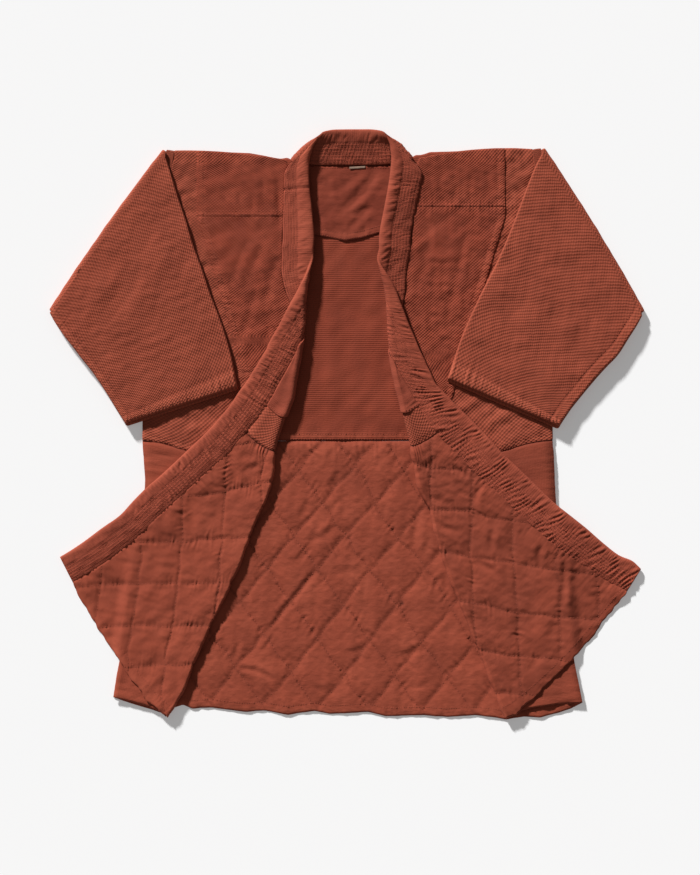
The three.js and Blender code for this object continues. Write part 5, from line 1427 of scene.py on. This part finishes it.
def makeCollar():
    arms = bandRings(neckLeft, leftHalf)[::-1], bandRings(neckRight, rightHalf)
    rings = arms[0] + arms[1]
    across = np.concatenate([
        [0.012, 0.03, 0.06], np.linspace(0.1, 0.36, 9), np.linspace(0.385, 0.965, 34), [0.985, 0.995],
    ])
    v = np.concatenate([[0.0], across, [1.0], across[::-1]])
    face = np.concatenate([[0], np.full(len(across), -1), [0], np.full(len(across), 1)])
    middle = np.array([ring(np.array([0.5]), np.array([3.0]))[0] for ring in rings])
    s = np.concatenate([[0], np.cumsum(np.linalg.norm(middle[1:] - middle[:-1], axis=1))])
    s -= s[len(arms[0])]
    seams = [s[int(np.argmin(np.hypot(middle[:, 0] - a, middle[:, 1] - b)))] for a, b in collarSeams]
    points = []
    for ring, place in zip(rings, s):
        height = bandHeight(np.full(len(v), place), v, seams)
        rounded = np.clip(bandDip(v) - height, -1.1, 2.9)
        q = np.where(face < 0, rounded, np.where(face > 0, band["thick"] - rounded, band["thick"] / 2))
        points.append(ring(v, q))
    points = np.array(points)
    rows, columns = points.shape[:2]
    cut = np.stack(np.broadcast_arrays(v[None] * band["full"] + 100 * face[None], s[:, None]), axis=-1)
    edge = v[None] * band["full"]
    along = s[:, None] + 0 * edge
    tone = 0.08 * hill(edge, 7) + 0.05 * ripple(along, edge, 60, 505)
    inPlain = smooth((band["plain"] - edge) / 3)
    # Painted highlight over the plain zone of the left lapel, which faces the light
    tone = tone + 0.12 * inPlain * smooth((-60 - along) / 12) * smooth((along + 330) / 60)
    # Painted shade in the valleys between the puffs of the gathered edge
    tone = tone - 0.16 * inPlain * hill(bandPuffs(along, edge), 0.3) * smooth((edge - 3) / 8)
    # Painted shade over the stitched rows of the right lapel, which slope away from the light
    tone = tone - 0.04 * (1 - inPlain) * smooth((along - 60) / 12) * smooth((260 - along) / 60)
    # Painted light and shade following the pulled folds, strongest on the left arm
    tone = tone + bandPulls(along, edge) * np.where(along < 0, 0.31, 0.05)
    # Painted shade in the grooves of the stitched rows
    for place in rowPlaces:
        tone = tone - 0.05 * hill(edge - place, 1.0)
    faces = gridFaces(rows, columns, True).tolist()
    faces += [list(range(columns)), list(range(rows * columns - 1, (rows - 1) * columns - 1, -1))]
    points, cut = points.reshape(-1, 3), cut.reshape(-1, 2)
    piece = meshPiece("collarBand", points, faces, cut, tone.reshape(-1), lapelCloth)
    groups = []
    for place in rowPlaces + [band["edgeStitch"]]:
        for outward in (-1, 1):
            spot = np.array([place / band["full"]])
            q = bandDip(spot) if outward < 0 else band["thick"] - bandDip(spot)
            path = np.array([ring(spot, q)[0] for ring in rings])
            above = np.array([ring(spot, q + outward * 0.5)[0] for ring in rings])
            paths = np.concatenate([path, above], axis=1)
            where, along = stitchPoints(paths, band["stitchPitch"], int(510 + place))
            up = unit(where[:, 3:] - where[:, :3])
            way = unit(along[:, :3])
            way = unit(way - up * (way * up).sum(axis=1, keepdims=True))
            groups.append((where[:, :3] + up * 0.15, way, up))
    thread = threadPiece("collarSewing", groups, threadStuff, 2.4, 0.7)
    finishSheet(piece, "collar", [thread])


# Sleeves: a tube laid flat and folded down over the shoulder
tube = {
    "wall": 2.0, "rollRadius": 5.15, "bow": 3.0, "cuffStep": 6.0, "hem": 14.0, "thick": 4.3,
    "counts": (118, 7, 32), "beforeRings": 14, "beforeStep": 6, "rollStep": 1.1, "rollDegrees": 12,
    "afterStep": 2.3, "bowRows": 3, "hemPitch": 3.4, "seamPitch": 3.8,
}


# Once round a flattened tube, outside and inside: place along the row and depth under its top
def ringOutline(row):
    topCount, endCount, underCount = tube["counts"]
    length = math.hypot(row[2] - row[0], row[3] - row[1])
    first, last = row[6] / 2, row[7] / 2
    a, w, ai, wi = [], [], [], []

    def put(place, depth, inPlace, inDepth):
        a.extend(place)
        w.extend(depth)
        ai.extend(inPlace)
        wi.extend(inDepth)

    flat = np.linspace(first, length - last, topCount)
    put(flat, 0 * flat, flat, 0 * flat + tube["wall"])
    turn = np.linspace(0, math.pi, endCount + 2)[1:-1]
    inner = last - tube["wall"]
    put(length - last + last * np.sin(turn), last - last * np.cos(turn),
        length - last + inner * np.sin(turn), last - inner * np.cos(turn))
    back = np.linspace(length - last, first, underCount)
    thick = mix(row[6], row[7], back / length)
    put(back, thick, back, thick - tube["wall"])
    turn = turn[::-1]
    inner = first - tube["wall"]
    put(first - first * np.sin(turn), first - first * np.cos(turn),
        first - inner * np.sin(turn), first - inner * np.cos(turn))
    return np.array(a), np.array(w), np.array(ai), np.array(wi), length


def makeSleeve(name, side, before, foldLine, after, creases, seamInset):
    topCount = tube["counts"][0]
    foldTop, foldArm = np.array(foldLine[:2], dtype=float), np.array(foldLine[2:4], dtype=float)
    down = unit(foldArm - foldTop)
    inward = np.array([side * down[1], -side * down[0]])
    outer, inner, tones, cuts = [], [], [], []
    gone = 0.0

    def place(row, a, length):
        share = (a / length)[:, None]
        return mix(np.array(row[:2]), np.array(row[2:4]), share), share[:, 0]

    def addRing(row, spot, tone, advance):
        nonlocal gone
        a, w, ai, wi, length = ringOutline(row)
        gone += advance
        outer.append(spot(row, a, w, length, True))
        inner.append(spot(row, ai, wi, length, False))
        cuts.append(np.stack([a + 400 * (w > tube["wall"]), np.full(len(a), gone)], axis=-1))
        tones.append(tone(a, w, length))

    def lying(row, a, w, length, outside):
        return np.column_stack([place(row, a, length)[0], w])

    def plainTone(a, w, length):
        return 0.04 * ripple(a, gone + 0 * a, 80, 601)

    rows = np.array(before, dtype=float)
    knots = np.arange(len(rows)) * 40.0
    for row in through(knots, rows, np.linspace(0, knots[-1], tube["beforeRings"])):
        addRing(row, lying, plainTone, tube["beforeStep"])

    inset = inward * tube["rollRadius"]
    axis = [*(foldTop + inset), *(foldArm + inset), 0, 0, tube["thick"], tube["thick"]]
    for degrees in range(-90, 91, tube["rollDegrees"]):
        tilt = math.radians(degrees)

        def rolled(row, a, w, length, outside, tilt=tilt):
            flat, share = place(row, a, length)
            reach = tube["rollRadius"] - w + 0.25 * ripple(a, 0 * a, 24, 602) * outside
            away = reach * math.cos(tilt) + tube["bow"] * 4 * share * (1 - share)
            z = tube["rollRadius"] + reach * math.sin(tilt)
            return np.column_stack([flat - inward * away[:, None], z])

        # Painted highlight round the fold roll, brightest at its outer side
        def rollHighlight(a, w, length, tilt=tilt):
            return 0.1 * math.cos(tilt) + plainTone(a, w, length)

        addRing(axis, rolled, rollHighlight, tube["rollStep"])

    folded = len(outer)
    rows = np.array(after, dtype=float)
    middle = (rows[:, :2] + rows[:, 2:4]) / 2
    knots = np.concatenate([[0], np.cumsum(np.hypot(*(middle[1:] - middle[:-1]).T))])
    at = np.append(np.arange(0, knots[-1] - 1, tube["afterStep"]), knots[-1])
    straight = knots[tube["bowRows"]]
    for here, row in zip(at, through(knots, rows, at)):
        across = unit(row[2:4] - row[:2])
        out = side * np.array([-across[1], across[0]])
        bend = tube["bow"] * max(0.0, 1 - here / straight)
        step = tube["cuffStep"] * min(1.0, max(0.0, (here - knots[-2]) / (knots[-1] - knots[-2])))
        toCuff = knots[-1] - here

        def upper(r, a, w, length, outside, bend=bend, step=step, out=out, toCuff=toCuff):
            flat, share = place(r, a, length)
            thick = mix(r[6], r[7], share)
            flat = flat - inward * (bend * 4 * share * (1 - share))[:, None]
            flat = flat - out * (step * w / thick)[:, None]
            x, y = flat[:, 0], flat[:, 1]
            onTop = 1 - w / thick
            fromSeam = np.abs(length - seamInset - a)
            height = creased(x, y, creases) * 0.8 + 0.5
            height += 0.4 * ripple(x, y, 46, 603 + side) + 0.18 * ripple(x, y, 17, 604 + side)
            height += gathered(np.abs(toCuff - 9) + 0 * a, a, 6.2, 0.75, 8, 605)
            height += 0.5 * float(smooth((15 - toCuff) / 3)) - 0.45 * hill(toCuff - 15, 1.6)
            height += gathered(fromSeam, toCuff + 0 * a, 5.6, 0.6, 7, 606)
            height += 0.5 * smooth((a - (length - seamInset)) / 3) - 0.5 * hill(fromSeam, 1.5)
            height -= 0.8 * hill(toCuff, 2.0)
            raised = np.maximum(height, -0.2) * onTop * (1 if outside else 0.6)
            return np.column_stack([flat, mix(r[4], r[5], share) + thick - w + raised])

        def shade(a, w, length, toCuff=toCuff):
            tone = plainTone(a, w, length) + 0.17 * float(smooth((16 - toCuff) / 5))
            tone += 0.12 * smooth((a - (length - seamInset)) / 4) + 0.07 * hill(a, 6)
            # Painted shade in the groove of the outer seam; the paler cuff and seam band are wear
            return tone - 0.12 * hill(length - seamInset - a, 1.3)

        addRing(row, upper, shade, tube["afterStep"])

    front, rear = np.array(outer), np.array(inner)
    cut, tone = np.array(cuts), np.array(tones)
    piece = meshPiece(name, *wall(front, rear, cut, tone, 8, True), riceCloth)
    tree = surfaceTree(front[folded:, :topCount + 4])
    groups = []
    hemRow = -1 - int(round(tube["hem"] / tube["afterStep"]))
    for number, ring in enumerate((hemRow, -3)):
        groups.append(sewn(tree, front[ring, 2:topCount, :2], tube["hemPitch"], 611 + number))
    for inset, seed in ((seamInset + 1.5, 613), (3.5, 614)):
        line = []
        for ring in front[folded + 4:]:
            top, arm = ring[0, :2], ring[topCount - 1, :2]
            line.append(arm + unit(top - arm) * (inset - 3))
        groups.append(sewn(tree, np.array(line), tube["seamPitch"], seed))
    thread = threadPiece(name + "Sewing", groups, threadStuff)
    half = "left" if side < 0 else "right"
    finishSheet(piece, "sleeve_" + half, [thread])


# Camera, light and floor
stage = {
    "cameraHigh": 5.0, "cameraPlace": (0.0041, -0.0179), "sensor": 36.0, "viewTall": 1.203125,
    "clipEnd": 50.0, "sun": 6.7, "sunAngle": 5.0, "sunRise": 23, "sunWay": (0.5, -0.866),
    "sky": (1.0, 0.97, 0.965), "skyStrength": 0.19, "floorReach": 6.0, "floorColour": (0.70, 0.70, 0.70),
    "floorRough": 0.9, "floorGlow": 0.212, "floorDrop": 0.0002,
}


def makeView():
    data = bpy.data.cameras.new("overheadCamera")
    camera = bpy.data.objects.new("overheadCamera", data)
    scene.collection.objects.link(camera)
    scene.camera = camera
    data.sensor_width = stage["sensor"]
    data.lens = stage["sensor"] * stage["cameraHigh"] / stage["viewTall"]
    data.clip_end = stage["clipEnd"]
    camera.location = (*stage["cameraPlace"], stage["cameraHigh"])
    camera.rotation_euler = (0, 0, 0)


def makeLight():
    sun = bpy.data.lights.new("keyLight", "SUN")
    sun.energy = stage["sun"]
    sun.angle = math.radians(stage["sunAngle"])
    key = bpy.data.objects.new("keyLight", sun)
    scene.collection.objects.link(key)
    rise = math.radians(stage["sunRise"])
    wayX, wayY = stage["sunWay"]
    travel = Vector((wayX * math.cos(rise), wayY * math.cos(rise), -math.sin(rise)))
    key.rotation_mode = "QUATERNION"
    key.rotation_quaternion = travel.to_track_quat("-Z", "Y")
    world = bpy.data.worlds.new("studio")
    scene.world = world
    world.use_nodes = True
    sky = world.node_tree.nodes["Background"]
    sky.inputs["Color"].default_value = (*stage["sky"], 1.0)
    sky.inputs["Strength"].default_value = stage["skyStrength"]
    scene.view_settings.view_transform = "Standard"


def makeFloor():
    mesh = bpy.data.meshes.new("floor")
    reach = stage["floorReach"]
    corners = [(-reach, -reach, 0), (reach, -reach, 0), (reach, reach, 0), (-reach, reach, 0)]
    mesh.from_pydata(corners, [], [(0, 1, 2, 3)])
    floor = bpy.data.objects.new("floor", mesh)
    scene.collection.objects.link(floor)
    pale = plainMaterial("paleFloor", stage["floorColour"], stage["floorRough"])
    glow = pale.node_tree.nodes["Principled BSDF"]
    glow.inputs["Emission Color"].default_value = (1.0, 1.0, 1.0, 1.0)
    glow.inputs["Emission Strength"].default_value = stage["floorGlow"]
    mesh.materials.append(pale)
    floor.location.z = -stage["floorDrop"]


makeView()
makeBackBody()
makeBackSkirt()
makeYoke()
for half in (leftHalf, rightHalf):
    makeFrontBody(half)
    makeFrontSkirt(half)
    makePatch(half, "Shoulder")
    makePatch(half, "Chest")
    makeFacing(half)
makeCollar()
makeSleeve("leftSleeve", -1, leftSleeveBefore, leftSleeveFold, leftSleeveAfter, leftSleeveCreases, 11)
makeSleeve("rightSleeve", 1, rightSleeveBefore, rightSleeveFold, rightSleeveAfter, rightSleeveCreases, 16)
makeFloor()
makeLight()
print("light, floor and camera are set")
